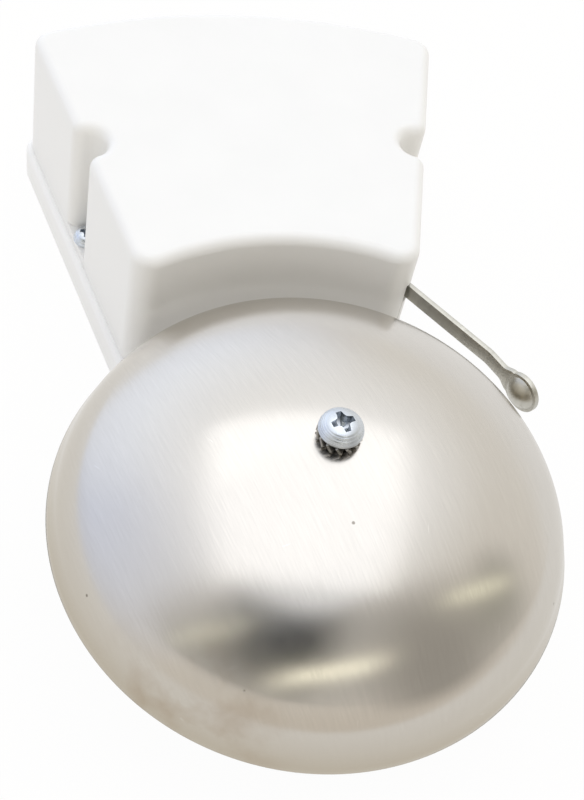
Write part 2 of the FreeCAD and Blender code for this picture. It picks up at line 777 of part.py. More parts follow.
def make_clamp_plate():
    back = leaf_front_y - free_gap
    low = coil_z - leaf_half_height
    high = coil_z + leaf_half_height
    front = back - clamp_plate
    bar = box(hinge_x + free_gap, hinge_x + spring_tab_width, front, back, low, high)
    for z in clamp_screw_heights():
        bar = bar.cut(across_leaf(m25_radius + running_clearance, clamp_screw_x(), z,
                                  front - PAST, back + PAST))
    return bar


def make_clamp_screws():
    seat = leaf_front_y - free_gap - clamp_plate
    length = clamp_plate + free_gap + leaf_thickness + plate
    blank = m25_screw(length)
    return [placed(blank, Vector(clamp_screw_x(), seat, z), -Y) for z in clamp_screw_heights()]


def make_rivets():
    rivets = []
    head_y = leaf_front_y - arm_thickness
    for x in rivet_x:
        shank = across_leaf(rivet_radius, x, coil_z, head_y, armature_back_y)
        head = across_leaf(rivet_head_radius, x, coil_z, head_y - rivet_head_height, head_y)
        rim = [e for e in head.Edges if e.BoundBox.YMax < head_y - rivet_head_height + TINY]
        head = head.makeFillet(rivet_head_round, rim)
        rivets.append(shank.fuse(head).removeSplitter())
    return rivets


def make_contact_rivet():
    tip = across_leaf(contact_rivet_radius, contact_x, coil_z,
                      leaf_front_y - contact_rivet_height, leaf_front_y)
    shank = across_leaf(contact_rivet_radius / 2, contact_x, coil_z, leaf_front_y, hinge_y)
    tail = across_leaf(contact_rivet_radius, contact_x, coil_z, hinge_y, hinge_y + leaf_thickness)
    return tip.fuse([shank, tail]).removeSplitter()


def make_clapper():
    low = arm_middle_z - arm_height / 2
    high = arm_middle_z + arm_height / 2
    foot_left = Vector(arm_foot_left_x, foot_middle_y, 0)
    path = [foot_left, Vector(foot_bend.x, foot_bend.y, 0), Vector(tip_bend.x, tip_bend.y, 0),
            Vector(hammer_centre.x, hammer_centre.y, 0)]
    arm = strip(path, (arm_bend_radius, arm_tip_bend_radius), arm_thickness, low, high)
    foot_right = arm_foot_bend_x - arm_bend_radius
    foot = box(arm_foot_left_x, foot_right, leaf_front_y - arm_thickness, leaf_front_y,
               arm_foot_bottom_z, high)
    half = arm_thickness / 2
    disc_foot = hammer_centre - hammer_out * half
    disc = cylinder(hammer_disc_radius, arm_thickness, disc_foot, hammer_out)
    dome_radius = (hammer_dome_radius ** 2 + hammer_dome_height ** 2) / (2 * hammer_dome_height)
    sphere_centre = disc_foot + hammer_out * (dome_radius - hammer_dome_height)
    zone_foot = disc_foot - hammer_out * 2 * hammer_dome_height
    zone = cylinder(hammer_dome_radius + PAST, 2 * hammer_dome_height, zone_foot, hammer_out)
    dome = Part.makeSphere(dome_radius, sphere_centre).common(zone)
    clapper = arm.fuse([foot, disc, dome])
    hollow = Part.makeSphere(dome_radius - arm_thickness, sphere_centre)
    clapper = clapper.cut(hollow)
    for x in rivet_x:
        hole = across_leaf(rivet_radius + running_clearance, x, coil_z,
                           foot_middle_y - PAST, leaf_front_y + PAST)
        clapper = clapper.cut(hole)
    return clapper.removeSplitter()


# Contact breaker
def make_contact_bracket():
    z0 = base_height + insulator_thickness
    half = bracket_width / 2
    foot = box(contact_x - half, contact_x + half, bracket_front_y, bracket_tab_y + bracket_thickness,
               z0, z0 + bracket_thickness)
    tab = box(contact_x - half, contact_x + half, bracket_tab_y, bracket_tab_y + bracket_thickness,
              z0, coil_z + half)
    bracket = foot.fuse(tab)
    bracket = bracket.cut(across_leaf(contact_screw_radius + running_clearance, contact_x, coil_z,
                                      bracket_tab_y - PAST, bracket_tab_y + bracket_thickness + PAST))
    hole_foot = Vector(contact_x, bracket_screw_y, z0 - PAST)
    hole = cylinder(m3_radius + screw_clearance, bracket_thickness + 2 * PAST, hole_foot)
    return bracket.cut(hole).removeSplitter()


def make_insulator():
    half = bracket_width / 2 + insulator_margin
    pad = box(contact_x - half, contact_x + half, bracket_front_y,
              bracket_tab_y + bracket_thickness + insulator_margin,
              base_height, base_height + insulator_thickness)
    hole_foot = Vector(contact_x, bracket_screw_y, base_height - PAST)
    hole = cylinder(m3_radius + screw_clearance, insulator_thickness + 2 * PAST, hole_foot)
    return pad.cut(hole)


def make_bracket_screw():
    seat = base_height + insulator_thickness + bracket_thickness
    length = insulator_thickness + bracket_thickness + base_screw_depth - screw_end_gap
    return placed(m3_screw(length), Vector(contact_x, bracket_screw_y, seat), spin=10)


def contact_tip_y():
    return leaf_front_y - contact_rivet_height - contact_gap


def make_contact_screw():
    blank = screw(contact_screw_radius, contact_screw_length, contact_head_radius,
                  contact_head_height, "slot")
    seat = contact_tip_y() - contact_screw_length
    return placed(blank, Vector(contact_x, seat, coil_z), -Y, spin=90)


def make_lock_nut():
    corner = contact_nut_flats / 2 / math.cos(math.radians(30))
    turns = [math.radians(60 * i) for i in range(6)]
    nut = prism([(corner * math.cos(t), corner * math.sin(t)) for t in turns], 0, contact_nut_height)
    bore_radius = contact_screw_radius + running_clearance
    nut = nut.cut(cylinder(bore_radius, contact_nut_height + 2 * PAST, Vector(0, 0, -PAST)))
    return placed(nut, Vector(contact_x, bracket_tab_y, coil_z), -Y)


# Terminals
def terminal_ys():
    return (terminal_y - terminal_pitch / 2, terminal_y + terminal_pitch / 2)


def make_terminal_block():
    top = base_height + terminal_height
    half_x = terminal_width / 2
    half_y = terminal_length / 2
    block = box(terminal_x - half_x, terminal_x + half_x, terminal_y - half_y, terminal_y + half_y,
                base_height, top)
    uprights = [e for e in block.Edges if e.BoundBox.ZLength > terminal_height / 2]
    block = block.makeFillet(terminal_corner, uprights)
    pocket_x = clamp_size[0] / 2 + pocket_clearance
    pocket_y = clamp_size[1] / 2 + pocket_clearance
    for y in terminal_ys():
        block = block.cut(box(terminal_x - pocket_x, terminal_x + pocket_x, y - pocket_y, y + pocket_y,
                              base_height + terminal_floor, top + PAST))
        block = block.cut(cylinder(wire_hole_radius + pocket_clearance, terminal_width + 2 * PAST,
                                   Vector(terminal_x - half_x - PAST, y, base_height + wire_hole_z), X))
    return block.cut(cylinder(m25_radius + screw_clearance, terminal_height + 2 * PAST,
                              Vector(terminal_x, terminal_y, base_height - PAST)))


def make_terminal_clamps():
    clamps = []
    half_x = clamp_size[0] / 2
    half_y = clamp_size[1] / 2
    z0 = base_height + terminal_floor
    z1 = z0 + clamp_size[2]
    for y in terminal_ys():
        clamp = box(terminal_x - half_x, terminal_x + half_x, y - half_y, y + half_y, z0, z1)
        clamp = clamp.cut(cylinder(wire_hole_radius, clamp_size[0] + 2 * PAST,
                                   Vector(terminal_x - half_x - PAST, y, base_height + wire_hole_z), X))
        clamp = clamp.cut(cylinder(m25_radius + running_clearance, clamp_size[2],
                                   Vector(terminal_x, y, base_height + wire_hole_z)))
        clamps.append(clamp)
    return clamps


def make_terminal_screws():
    seat = base_height + terminal_floor + clamp_size[2] + free_gap
    length = seat - base_height - wire_hole_z - lead_radius - running_clearance
    head_radius = clamp_size[0] / 2 + pocket_clearance - free_gap
    blank = screw(m25_radius, length, head_radius, terminal_head_height, "slot")
    return [placed(blank, Vector(terminal_x, y, seat), spin=25 * i) for i, y in enumerate(terminal_ys())]


def make_terminal_block_screw():
    length = terminal_height + base_screw_depth - screw_end_gap
    return placed(m25_screw(length), Vector(terminal_x, terminal_y, base_height + terminal_height), spin=40)


# Lead wires
def make_lead_wires():
    clamp_z = base_height + wire_hole_z
    low_y, high_y = terminal_ys()
    left_coil, right_coil = coil_xs
    yoke_left = magnet_x - yoke_half_width
    run_x = yoke_left - 2 * lead_radius
    side = math.sqrt(winding_radius ** 2 - lead_drop ** 2) + lead_radius
    lead_z = coil_z - lead_drop
    bend_z = base_height + plate + m3_head_height + 2 * lead_radius
    coil_lead = tube([
        Vector(left_coil - side, yoke_y - lead_coil_end, lead_z),
        Vector(run_x, yoke_y - lead_step, lead_z),
        Vector(run_x, high_y, clamp_z),
        Vector(terminal_x, high_y, clamp_z),
    ])
    bracket_left = contact_x - bracket_width / 2
    bracket_top = base_height + insulator_thickness + bracket_thickness
    breaker_lead = tube([
        Vector(terminal_x, low_y, clamp_z),
        Vector(run_x, low_y, clamp_z),
        Vector(run_x, chassis_front_y - lead_inset, bend_z),
        Vector(bracket_left - 3 * lead_radius, bracket_tab_y - lead_inset, bend_z),
        Vector(contact_x - m3_head_radius - lead_radius - running_clearance, bracket_screw_y,
               bracket_top + lead_radius + running_clearance),
    ])
    screw_x, screw_y = ear_right_low
    beside_head = m3_head_radius + lead_radius + running_clearance
    coil_end_y = screw_y + beside_head + 2 * lead_radius
    chassis_lead = tube([
        Vector(right_coil + side, coil_end_y, lead_z),
        Vector(right_coil + side + lead_step, coil_end_y, lead_z),
        Vector(screw_x, screw_y + beside_head, base_height + plate + lead_radius + running_clearance),
    ])
    over = coil_z + winding_radius + lead_radius + running_clearance
    link_y = yoke_y - lead_coil_end
    link = tube([
        Vector(left_coil, link_y, over),
        Vector(left_coil + lead_step, link_y, over + lead_link_rise),
        Vector(right_coil - lead_step, link_y, over + lead_link_rise),
        Vector(right_coil, link_y, over),
    ])
    return [coil_lead, breaker_lead, chassis_lead, link]


save("base_plate", make_base())
save("cover", make_cover())
save("cover_screws", *make_cover_screws())
save("gong", make_gong())
save("gong_pillar", make_pillar())
save("gong_seat_washer", make_seat_washer())
save("gong_tooth_washer", make_tooth_washer())
save("gong_screw", make_gong_screw())
for label, coil_x in zip(("left", "right"), coil_xs):
    core, bobbin, winding = make_coil(coil_x)
    save(f"coil_core_{label}", core)
    save(f"bobbin_{label}", bobbin)
    save(f"winding_{label}", winding)
save("core_screws", *make_core_screws())
save("chassis", make_chassis())
save("chassis_screws", *make_chassis_screws())
save("armature", make_armature())
save("leaf_spring", make_leaf_spring())
save("spring_clamp_plate", make_clamp_plate())
save("spring_clamp_screws", *make_clamp_screws())
save("armature_rivets", *make_rivets())
save("contact_rivet", make_contact_rivet())
save("clapper", make_clapper())
save("contact_bracket", make_contact_bracket())
save("contact_insulator", make_insulator())
save("contact_bracket_screw", make_bracket_screw())
save("contact_screw", make_contact_screw())
save("contact_lock_nut", make_lock_nut())
save("terminal_block", make_terminal_block())
save("terminal_clamps", *make_terminal_clamps())
save("terminal_screws", *make_terminal_screws())
save("terminal_block_screw", make_terminal_block_screw())
save("lead_wires", *make_lead_wires())
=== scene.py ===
# %% [markdown]
# A small wall bell, lying on its back. Its construction comes as a fixed frame: every screw, spring and shell
# is already there at its real size. This lesson gives each of them its finish, and makes anew the few pieces
# whose shape needs more than the frame has: the gong, its screw and toothed washer, the cover screws, the
# clapper, the coil wire and the contact screw.

# %% Load the frame
import json
import math
import bmesh
import bpy
from mathutils import Matrix, Quaternion, Vector


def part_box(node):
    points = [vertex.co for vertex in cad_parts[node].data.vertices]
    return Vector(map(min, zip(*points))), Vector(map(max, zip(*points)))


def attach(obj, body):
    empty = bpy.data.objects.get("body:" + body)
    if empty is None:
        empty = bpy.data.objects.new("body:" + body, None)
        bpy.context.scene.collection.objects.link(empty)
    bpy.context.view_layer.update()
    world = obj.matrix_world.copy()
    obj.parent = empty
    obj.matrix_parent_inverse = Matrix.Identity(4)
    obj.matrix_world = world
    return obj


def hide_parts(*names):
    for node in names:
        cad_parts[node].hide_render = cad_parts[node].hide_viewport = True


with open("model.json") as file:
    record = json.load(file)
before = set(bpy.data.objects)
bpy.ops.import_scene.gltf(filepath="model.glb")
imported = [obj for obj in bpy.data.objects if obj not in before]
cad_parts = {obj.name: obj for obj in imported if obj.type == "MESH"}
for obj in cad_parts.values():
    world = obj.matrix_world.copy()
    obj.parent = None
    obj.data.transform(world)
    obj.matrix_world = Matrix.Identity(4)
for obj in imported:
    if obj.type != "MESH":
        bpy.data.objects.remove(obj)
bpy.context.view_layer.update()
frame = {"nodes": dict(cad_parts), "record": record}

MM = 0.001

# %% [markdown]
# The camera stands close to the bell, at the near left, and looks steeply down. It could be given three
# angles, but two points say more: where it stands and what it looks at. Only the roll about its own line of
# sight is an angle. All of it was found by matching the outlines of gong, cover and base. A long lens would
# flatten the bell, and this one keeps its depth.

# %% Camera
camera_place = Vector((-41.27, -85.06, 177.34)) * MM
camera_target = Vector((0.43, 20.64, 20.5)) * MM
camera_roll = math.radians(15.32)

lens = bpy.data.cameras.new("camera")
lens.lens = 56.28
lens.sensor_width = 36
lens.clip_start = 0.01
lens.clip_end = 10
camera = bpy.data.objects.new("camera", lens)
bpy.context.scene.collection.objects.link(camera)
view_line = camera_target - camera_place
camera.rotation_mode = "QUATERNION"
camera.rotation_quaternion = view_line.to_track_quat("-Z", "Y") @ Quaternion((0, 0, 1), camera_roll)
camera.location = camera_place
bpy.context.scene.camera = camera
print("camera is", round(view_line.length / MM), "mm from the bell")

# %% [markdown]
# Nodes are wired in the same few ways again and again. In the editor each link is drawn by hand. In code one
# helper fills all inputs of a node, from plain values or from another node's output, and one adds a node with
# its options. The others are short forms of what every finish needs: mixed colours, stretched values, maths,
# noise.

# %% Helpers for nodes
def fill(tree, node, inputs):
    """Gives each input its value, or a link where the value is another node's output."""
    for name, value in inputs.items():
        if isinstance(value, bpy.types.NodeSocket):
            tree.links.new(value, node.inputs[name])
        else:
            node.inputs[name].default_value = value


def add(tree, kind, inputs=None, **options):
    """New shader node of that kind, with its options and inputs."""
    node = tree.nodes.new("ShaderNode" + kind)
    for name, value in options.items():
        setattr(node, name, value)
    fill(tree, node, inputs or {})
    return node


def mix_colors(tree, factor, first, second):
    """Colour that goes from first to second as factor goes from 0 to 1."""
    return add(tree, "Mix", {0: factor, 6: first, 7: second}, data_type="RGBA").outputs[2]


def stretch(tree, value, low, high, out_low, out_high):
    """Value between low and high, spread over out_low to out_high and held there."""
    return add(tree, "MapRange", {"Value": value, "From Min": low, "From Max": high,
                                  "To Min": out_low, "To Max": out_high}).outputs[0]


def calculate(tree, operation, *numbers):
    return add(tree, "Math", dict(enumerate(numbers)), operation=operation).outputs[0]


def calculate_vector(tree, operation, *vectors):
    """Vector maths. A dot product, a length and a distance come out as a number."""
    node = add(tree, "VectorMath", dict(enumerate(vectors)), operation=operation)
    return node.outputs["Value" if operation in ("DOT_PRODUCT", "LENGTH", "DISTANCE") else "Vector"]


def plus_part(tree, value, extra, part):
    """The value, with that part of the extra added to it."""
    return calculate(tree, "ADD", value, calculate(tree, "MULTIPLY", extra, part))


def noise(tree, place, scale, detail):
    """Cloudy value between 0 and 1, with about that many clouds to a metre."""
    return add(tree, "TexNoise", {"Vector": place, "Scale": scale, "Detail": detail}).outputs[0]


print("kinds of shader node:", sum(kind.startswith("ShaderNode") for kind in dir(bpy.types)))

# %% [markdown]
# The bell lies on a warm white sheet, in the middle of a white studio. More light would turn the sheet white,
# but would bleach the bell as well. So the lamps stay as they are, and rays from the camera, from gloss and
# through glass see the sheet a good deal whiter than it is lit. It still takes the bell's soft shadow, as any
# paper would.

# %% Floor
floor_paper = bpy.data.materials.new("floor_paper")
floor_paper.use_nodes = True
tree = floor_paper.node_tree
fibres = noise(tree, add(tree, "TexCoord").outputs["Object"], 900.0, 4.0)
paper_color = mix_colors(tree, fibres, (0.84, 0.81, 0.75, 1), (0.88, 0.85, 0.79, 1))
paper = tree.nodes["Principled BSDF"]
fill(tree, paper, {"Base Color": paper_color, "Roughness": 0.9, "Specular IOR Level": 0.1})

whiteness = 0.96
rays = add(tree, "LightPath").outputs
direct = calculate(tree, "MAXIMUM", rays["Is Camera Ray"], rays["Is Glossy Ray"])
watched = calculate(tree, "MAXIMUM", direct, rays["Is Transmission Ray"])
white_share = calculate(tree, "MULTIPLY", watched, whiteness)
glow = add(tree, "Emission", {"Color": (1, 1, 1, 1), "Strength": 1.0})
whitened = add(tree, "MixShader", {0: white_share, 1: paper.outputs[0], 2: glow.outputs[0]})
fill(tree, tree.nodes["Material Output"], {"Surface": whitened.outputs[0]})

floor_half = 3.0
floor_drop = 0.02 * MM
floor_mesh = bpy.data.meshes.new("floor")
floor_corners = [(x * floor_half, y * floor_half, -floor_drop)
                 for x, y in ((-1, -1), (1, -1), (1, 1), (-1, 1))]
floor_mesh.from_pydata(floor_corners, [], [(0, 1, 2, 3)])
floor_mesh.materials.append(floor_paper)
floor = bpy.data.objects.new("floor", floor_mesh)
bpy.context.scene.collection.objects.link(floor)
print("floor", 2 * floor_half, "m wide")

# %% [markdown]
# A domed metal gong shows its whole surroundings, so the room is shaped as much for what the gong mirrors as
# for how it lights the plastic. It is a white tent: bright and cool where daylight comes in, behind and to
# the left, and dimmer and warm on the near side. Walls could be built for it, but the world can be painted by
# direction alone: its Generated coordinate is the direction that a ray flies in. Each colour is laid over the
# one before.

# %% Room
room = bpy.data.worlds.new("room")
bpy.context.scene.world = room
room.use_nodes = True
room_tree = room.node_tree
flight = add(room_tree, "TexCoord").outputs["Generated"]


def direction(azimuth, elevation):
    """Unit vector, from degrees about Z starting at +X and degrees above the floor."""
    flat = math.cos(math.radians(elevation))
    return Vector((flat * math.cos(math.radians(azimuth)), flat * math.sin(math.radians(azimuth)),
                   math.sin(math.radians(elevation))))


def nearness(aim, far, near):
    """1 up to near degrees from the aim, falling to 0 at far degrees."""
    agreement = calculate_vector(room_tree, "DOT_PRODUCT", flight, aim)
    return stretch(room_tree, agreement, math.cos(math.radians(far)), math.cos(math.radians(near)), 0.0, 1.0)


def lay(under, where, color):
    """The room's colour with another one laid over it."""
    return mix_colors(room_tree, where, under, color + (1.0,))


cloth = lay((0.85, 0.80, 0.73, 1.0), nearness(direction(105, 10), 150, 60), (0.97, 0.95, 0.91))
daylit = lay(cloth, nearness(direction(138, 14), 75, 15), (0.90, 0.97, 1.17))
window = lay(daylit, nearness(direction(110, 26), 42, 10), (1.24, 1.32, 1.47))
sky = lay(window, nearness(direction(80, 66), 58, 28), (1.22, 1.24, 1.27))
print("the window is towards", [round(part, 2) for part in direction(110, 26)])

# %% [markdown]
# Only the near side of the room, away from the window, is dark. The gong bends it into the grey band low on
# its face. Dark cloth hung in the tent would give the same, but would have to be placed by trial: here it is
# a slab of the room between two heights, with round darker places and one dark strip in it. Three narrow
# bright slits over it give the band its streaks, and it ends sharply above, where the white ceiling begins. A
# strip is the part of a great circle between two directions.

# %% Dim side of the room
def strip(start, end, half_width):
    """1 on the line between two directions, falling to 0 beside it and past its ends."""
    beside = calculate_vector(room_tree, "DOT_PRODUCT", flight, start.cross(end).normalized())
    outer, inner = (math.sin(math.radians(share * half_width)) for share in (1.6, 0.4))
    line = stretch(room_tree, calculate(room_tree, "ABSOLUTE", beside), outer, inner, 0.0, 1.0)
    reach = math.degrees(start.angle(end)) / 2
    return calculate(room_tree, "MULTIPLY", line, nearness((start + end).normalized(), reach + 5, reach - 5))


straight_up = (0, 0, 1)
slab = calculate(room_tree, "MULTIPLY", nearness(straight_up, 62, 54), nearness(direction(262, 0), 78, 64))
round_places = (((248, 54), 24, 9, (0.02, 0.025, 0.03)),
                ((317, 30), 27, 10, (0.42, 0.40, 0.365)),
                ((347, 21), 15, 4, (0.42, 0.41, 0.36)))
strips = (((207, 33), (262, 37), 4, (0.36, 0.35, 0.32)),
          ((209, 35), (230, 52), 2, (1.15, 1.12, 0.92)),
          ((251, 40), (297, 41), 1.8, (2.20, 2.12, 1.75)),
          ((336, 38), (352, 20), 1.6, (1.50, 1.46, 1.15)))
surroundings = lay(sky, slab, (0.60, 0.585, 0.555))
for aim, far, near, color in round_places:
    surroundings = lay(surroundings, nearness(direction(*aim), far, near), color)
for start, end, half_width, color in strips:
    surroundings = lay(surroundings, strip(direction(*start), direction(*end), half_width), color)
surroundings = lay(surroundings, nearness(straight_up, 31, 25), (1.10, 1.12, 1.16))
fill(room_tree, room_tree.nodes["Background"], {"Color": surroundings})
print("room with", len(room_tree.nodes), "nodes")

# %% [markdown]
# A wide soft box hangs over the bell. It makes the white pool on the gong and the soft shadows under the
# screw and the clapper. A second panel on the near side lights the front wall of the cover, and is hidden
# from gloss, so that the gong doesn't show it. A lamp's power counts for its whole face, so it is worked out
# from how bright the face should look, where 1 is white. A bare point lamp would be simpler, but would give
# hard shadows and a glint.

# %% Lamps
bell_centre = Vector((0, 20, 20)) * MM
lamp_distance = 0.60


def soft_box(name, aim, sides, brightness, color):
    """Rectangular lamp in that direction from the bell, facing it."""
    light = bpy.data.lights.new(name, "AREA")
    light.shape = "RECTANGLE"
    light.size, light.size_y = sides
    light.energy = brightness * math.pi * sides[0] * sides[1]
    light.color = color
    lamp = bpy.data.objects.new(name, light)
    bpy.context.scene.collection.objects.link(lamp)
    lamp.location = bell_centre + aim * lamp_distance
    lamp.rotation_mode = "QUATERNION"
    lamp.rotation_quaternion = aim.to_track_quat("Z", "Y")
    print(name, round(light.energy, 2), "W")
    return lamp


soft_box("box_above", direction(80, 81), (0.76, 0.72), 0.56, (0.99, 1.0, 1.04))
panel_near = soft_box("panel_near", direction(272, 33), (0.50, 0.36), 0.60, (1.0, 0.97, 0.90))
panel_near.visible_glossy = False

# %% [markdown]
# The view transform is Standard, so that a colour comes out as it is written. A filmic one would bend the
# pale colours of this bell towards grey.

# %% View transform
bpy.context.scene.view_settings.view_transform = "Standard"
print("view transform is", bpy.context.scene.view_settings.view_transform)

# %% [markdown]
# Moulded plastic is never quite smooth. The mould's own surface leaves a fine skin, and the plastic shrinks a
# little unevenly, so reflections swim. Each plastic could have its own noises for this, but one shader group
# with named inputs serves them all. It gives skin and swim at once as a height, with a slow cloudy tone
# beside it for small changes of colour and gloss.

# %% Group for moulded skin
def new_group(name, inputs, outputs):
    """Empty shader group with named sockets; inputs are name: default, and None is a vector."""
    group = bpy.data.node_groups.new(name, "ShaderNodeTree")
    for label, default in inputs.items():
        kind = "NodeSocketVector" if default is None else "NodeSocketFloat"
        socket = group.interface.new_socket(label, in_out="INPUT", socket_type=kind)
        if default is not None:
            socket.default_value = default
    for label in outputs:
        group.interface.new_socket(label, in_out="OUTPUT", socket_type="NodeSocketFloat")
    return group, group.nodes.new("NodeGroupInput").outputs, group.nodes.new("NodeGroupOutput")


moulded_skin, given, result = new_group(
    "Moulded skin", {"Vector": None, "Grain": 3000.0, "Swim": 90.0}, ["Height", "Tone"])
fine = noise(moulded_skin, given["Vector"], given["Grain"], 2.0)
slow = noise(moulded_skin, given["Vector"], given["Swim"], 3.0)
fill(moulded_skin, result, {"Height": plus_part(moulded_skin, slow, fine, 0.25), "Tone": slow})
print(moulded_skin.name, "has", len(moulded_skin.nodes), "nodes")

# %% [markdown]
# Sheet metal leaves the rolling mill with straight lines in it. A wave texture would draw them too evenly,
# but noise that is stretched a long way along one direction looks just like them. Angle turns the lines away
# from the Y axis, Lines says how many there are to a metre, and Reach how much longer than wide they are.

# %% Group for rolled grain
rolled_grain, given, result = new_group(
    "Rolled grain", {"Vector": None, "Angle": 0.0, "Lines": 4000.0, "Reach": 40.0}, ["Height", "Tone"])
turned = add(rolled_grain, "VectorRotate", {"Vector": given["Vector"], "Angle": given["Angle"]},
             rotation_type="Z_AXIS", invert=True)
along = calculate(rolled_grain, "DIVIDE", given["Lines"], given["Reach"])
spread = add(rolled_grain, "CombineXYZ", {"X": given["Lines"], "Y": along, "Z": along})
drawn_out = calculate_vector(rolled_grain, "MULTIPLY", turned.outputs[0], spread.outputs[0])
for label, scale, detail in (("Height", 1.0, 3.0), ("Tone", 0.13, 4.0)):
    lines = add(rolled_grain, "TexNoise", {"Vector": drawn_out, "Scale": scale, "Detail": detail,
                                           "Roughness": 0.65})
    fill(rolled_grain, result, {label: lines.outputs[0]})
print(rolled_grain.name, "has", len(rolled_grain.nodes), "nodes")

# %% [markdown]
# Anything that came off a lathe or out of a heading tool has rings about its axis. A ring wave would space
# them evenly. The distance from the axis, fed to a noise with one dimension, gives rings of uneven width. The
# axis is any line: a point on it, and its direction, so that one group serves an upright screw and a lying
# coil core.

# %% Group for turned rings
turned_rings, given, result = new_group(
    "Turned rings", {"Vector": None, "Centre": None, "Axis": None, "Lines": 6000.0}, ["Height", "Tone"])
from_centre = calculate_vector(turned_rings, "SUBTRACT", given["Vector"], given["Centre"])
sideways = calculate_vector(turned_rings, "CROSS_PRODUCT", from_centre, given["Axis"])
from_axis = calculate_vector(turned_rings, "LENGTH", sideways)
rings_at = calculate(turned_rings, "MULTIPLY", from_axis, given["Lines"])
for label, scale in (("Height", 1.0), ("Tone", 0.2)):
    rings = add(turned_rings, "TexNoise", {"W": rings_at, "Scale": scale, "Detail": 2.0},
                noise_dimensions="1D")
    fill(turned_rings, result, {label: rings.outputs[0]})
print(turned_rings.name, "has", len(turned_rings.nodes), "nodes")

# %% [markdown]
# Edges lose their plating first. They could be painted by hand, piece by piece. But a bevelled normal bends
# away from the true one only near an edge, so the angle between the two marks every edge by itself, and a
# noise breaks the mark up. Width is how far the wear reaches in from the edge.

# %% Group for worn edges
worn_edges, given, result = new_group("Worn edges", {"Vector": None, "Width": 0.0002}, ["Mask"])
bevelled_normal = add(worn_edges, "Bevel", {"Radius": given["Width"]}, samples=4).outputs[0]
true_normal = add(worn_edges, "NewGeometry").outputs["Normal"]
agreement = calculate_vector(worn_edges, "DOT_PRODUCT", bevelled_normal, true_normal)
on_edge = stretch(worn_edges, agreement, 0.995, 0.86, 0.0, 1.0)
patches = stretch(worn_edges, noise(worn_edges, given["Vector"], 1600.0, 3.0), 0.38, 0.62, 0.25, 1.0)
fill(worn_edges, result, {"Mask": calculate(worn_edges, "MULTIPLY", on_edge, patches)})
print(worn_edges.name, "has", len(worn_edges.nodes), "nodes")

# %% [markdown]
# Handling leaves short scratches that run every way. Scratches cut into the mesh would cost millions of
# faces. So three layers of drawn-out noise are cut off high up, where only their crests remain as thin marks,
# and each layer is turned against the others. Amount moves the cut.

# %% Group for handling scratches
handling_scratches, given, result = new_group(
    "Handling scratches", {"Vector": None, "Scale": 2600.0, "Amount": 0.27}, ["Mask"])
thin = calculate(handling_scratches, "DIVIDE", given["Scale"], 28.0)
spread = add(handling_scratches, "CombineXYZ", {"X": given["Scale"], "Y": thin, "Z": thin})
threshold = calculate(handling_scratches, "SUBTRACT", 1.0, given["Amount"])
crest_end = calculate(handling_scratches, "ADD", threshold, 0.03)
marks = 0.0
for turn in (25, 95, 160):
    turned = add(handling_scratches, "VectorRotate", {"Vector": given["Vector"], "Angle": math.radians(turn)},
                 rotation_type="Z_AXIS")
    drawn_out = calculate_vector(handling_scratches, "MULTIPLY", turned.outputs[0], spread.outputs[0])
    crests = noise(handling_scratches, drawn_out, 1.0, 1.0)
    layer = stretch(handling_scratches, crests, threshold, crest_end, 0.0, 1.0)
    marks = calculate(handling_scratches, "MAXIMUM", marks, layer)
fill(handling_scratches, result, {"Mask": marks})
print(handling_scratches.name, "has", len(handling_scratches.nodes), "nodes")

# %% [markdown]
# Corners get painted shade, with some dust in it, laid into the colour, and metal that has stood about has
# small dark specks. Corners are found by how open the space over a point is, which works on any shape. Specks
# are the cores of scattered cells, of which only a few are let through: a noise would give clouds, and a cell
# gives one round dot.

# %% Groups for painted shade and dust in corners, and specks
# Mask of the corners, where little of the room is open over a point, broken by lumps: it lays painted shade,
# with some dust, into the colour.
corner_grime_and_shade, given, result = new_group("Corner grime and shade", {"Vector": None, "Reach": 0.003}, ["Mask"])
openness = add(corner_grime_and_shade, "AmbientOcclusion", {"Distance": given["Reach"]}, samples=6, only_local=True)
closed_in = stretch(corner_grime_and_shade, openness.outputs["AO"], 0.35, 0.95, 1.0, 0.0)
lumps = noise(corner_grime_and_shade, given["Vector"], 500.0, 4.0)
fill(corner_grime_and_shade, result, {"Mask": calculate(corner_grime_and_shade, "MULTIPLY", closed_in, lumps)})

specks, given, result = new_group(
    "Specks", {"Vector": None, "Scale": 400.0, "Share": 0.1, "Size": 0.12}, ["Mask"])
cells = add(specks, "TexVoronoi", {"Vector": given["Vector"], "Scale": given["Scale"]}).outputs
chance = add(specks, "SeparateColor", {"Color": cells["Color"]}).outputs
chosen = calculate(specks, "LESS_THAN", chance["Red"], given["Share"])
speck_size = calculate(specks, "MULTIPLY", given["Size"], chance["Green"])
core = calculate(specks, "LESS_THAN", cells["Distance"], speck_size)
fill(specks, result, {"Mask": calculate(specks, "MULTIPLY", chosen, core)})
print("groups:", [group.name for group in bpy.data.node_groups])

# %% [markdown]
# A new finish starts with its shader and the object's own coordinates, which stay with a piece when it moves,
# as coordinates of the room would not. A colour is written as plain light values. Shading it down by a few
# percent gives the darker partner that the tone of a group mixes in, so a finish needs only one colour of its
# own.

# %% Start of every finish
FINISHES = {}


def start_finish(slot):
    """New material for one slot of the record: its nodes, its shader and the object's coordinates."""
    material = bpy.data.materials.new(slot)
    material.use_nodes = True
    tree = material.node_tree
    FINISHES[slot] = material
    return tree, tree.nodes["Principled BSDF"], add(tree, "TexCoord").outputs["Object"]


def use(tree, group, **inputs):
    """Outputs of a shader group placed in a material, with some of its inputs set or linked."""
    return add(tree, "Group", inputs, node_tree=group).outputs


def shade(color, factor):
    return tuple(channel * factor for channel in color) + (1.0,)


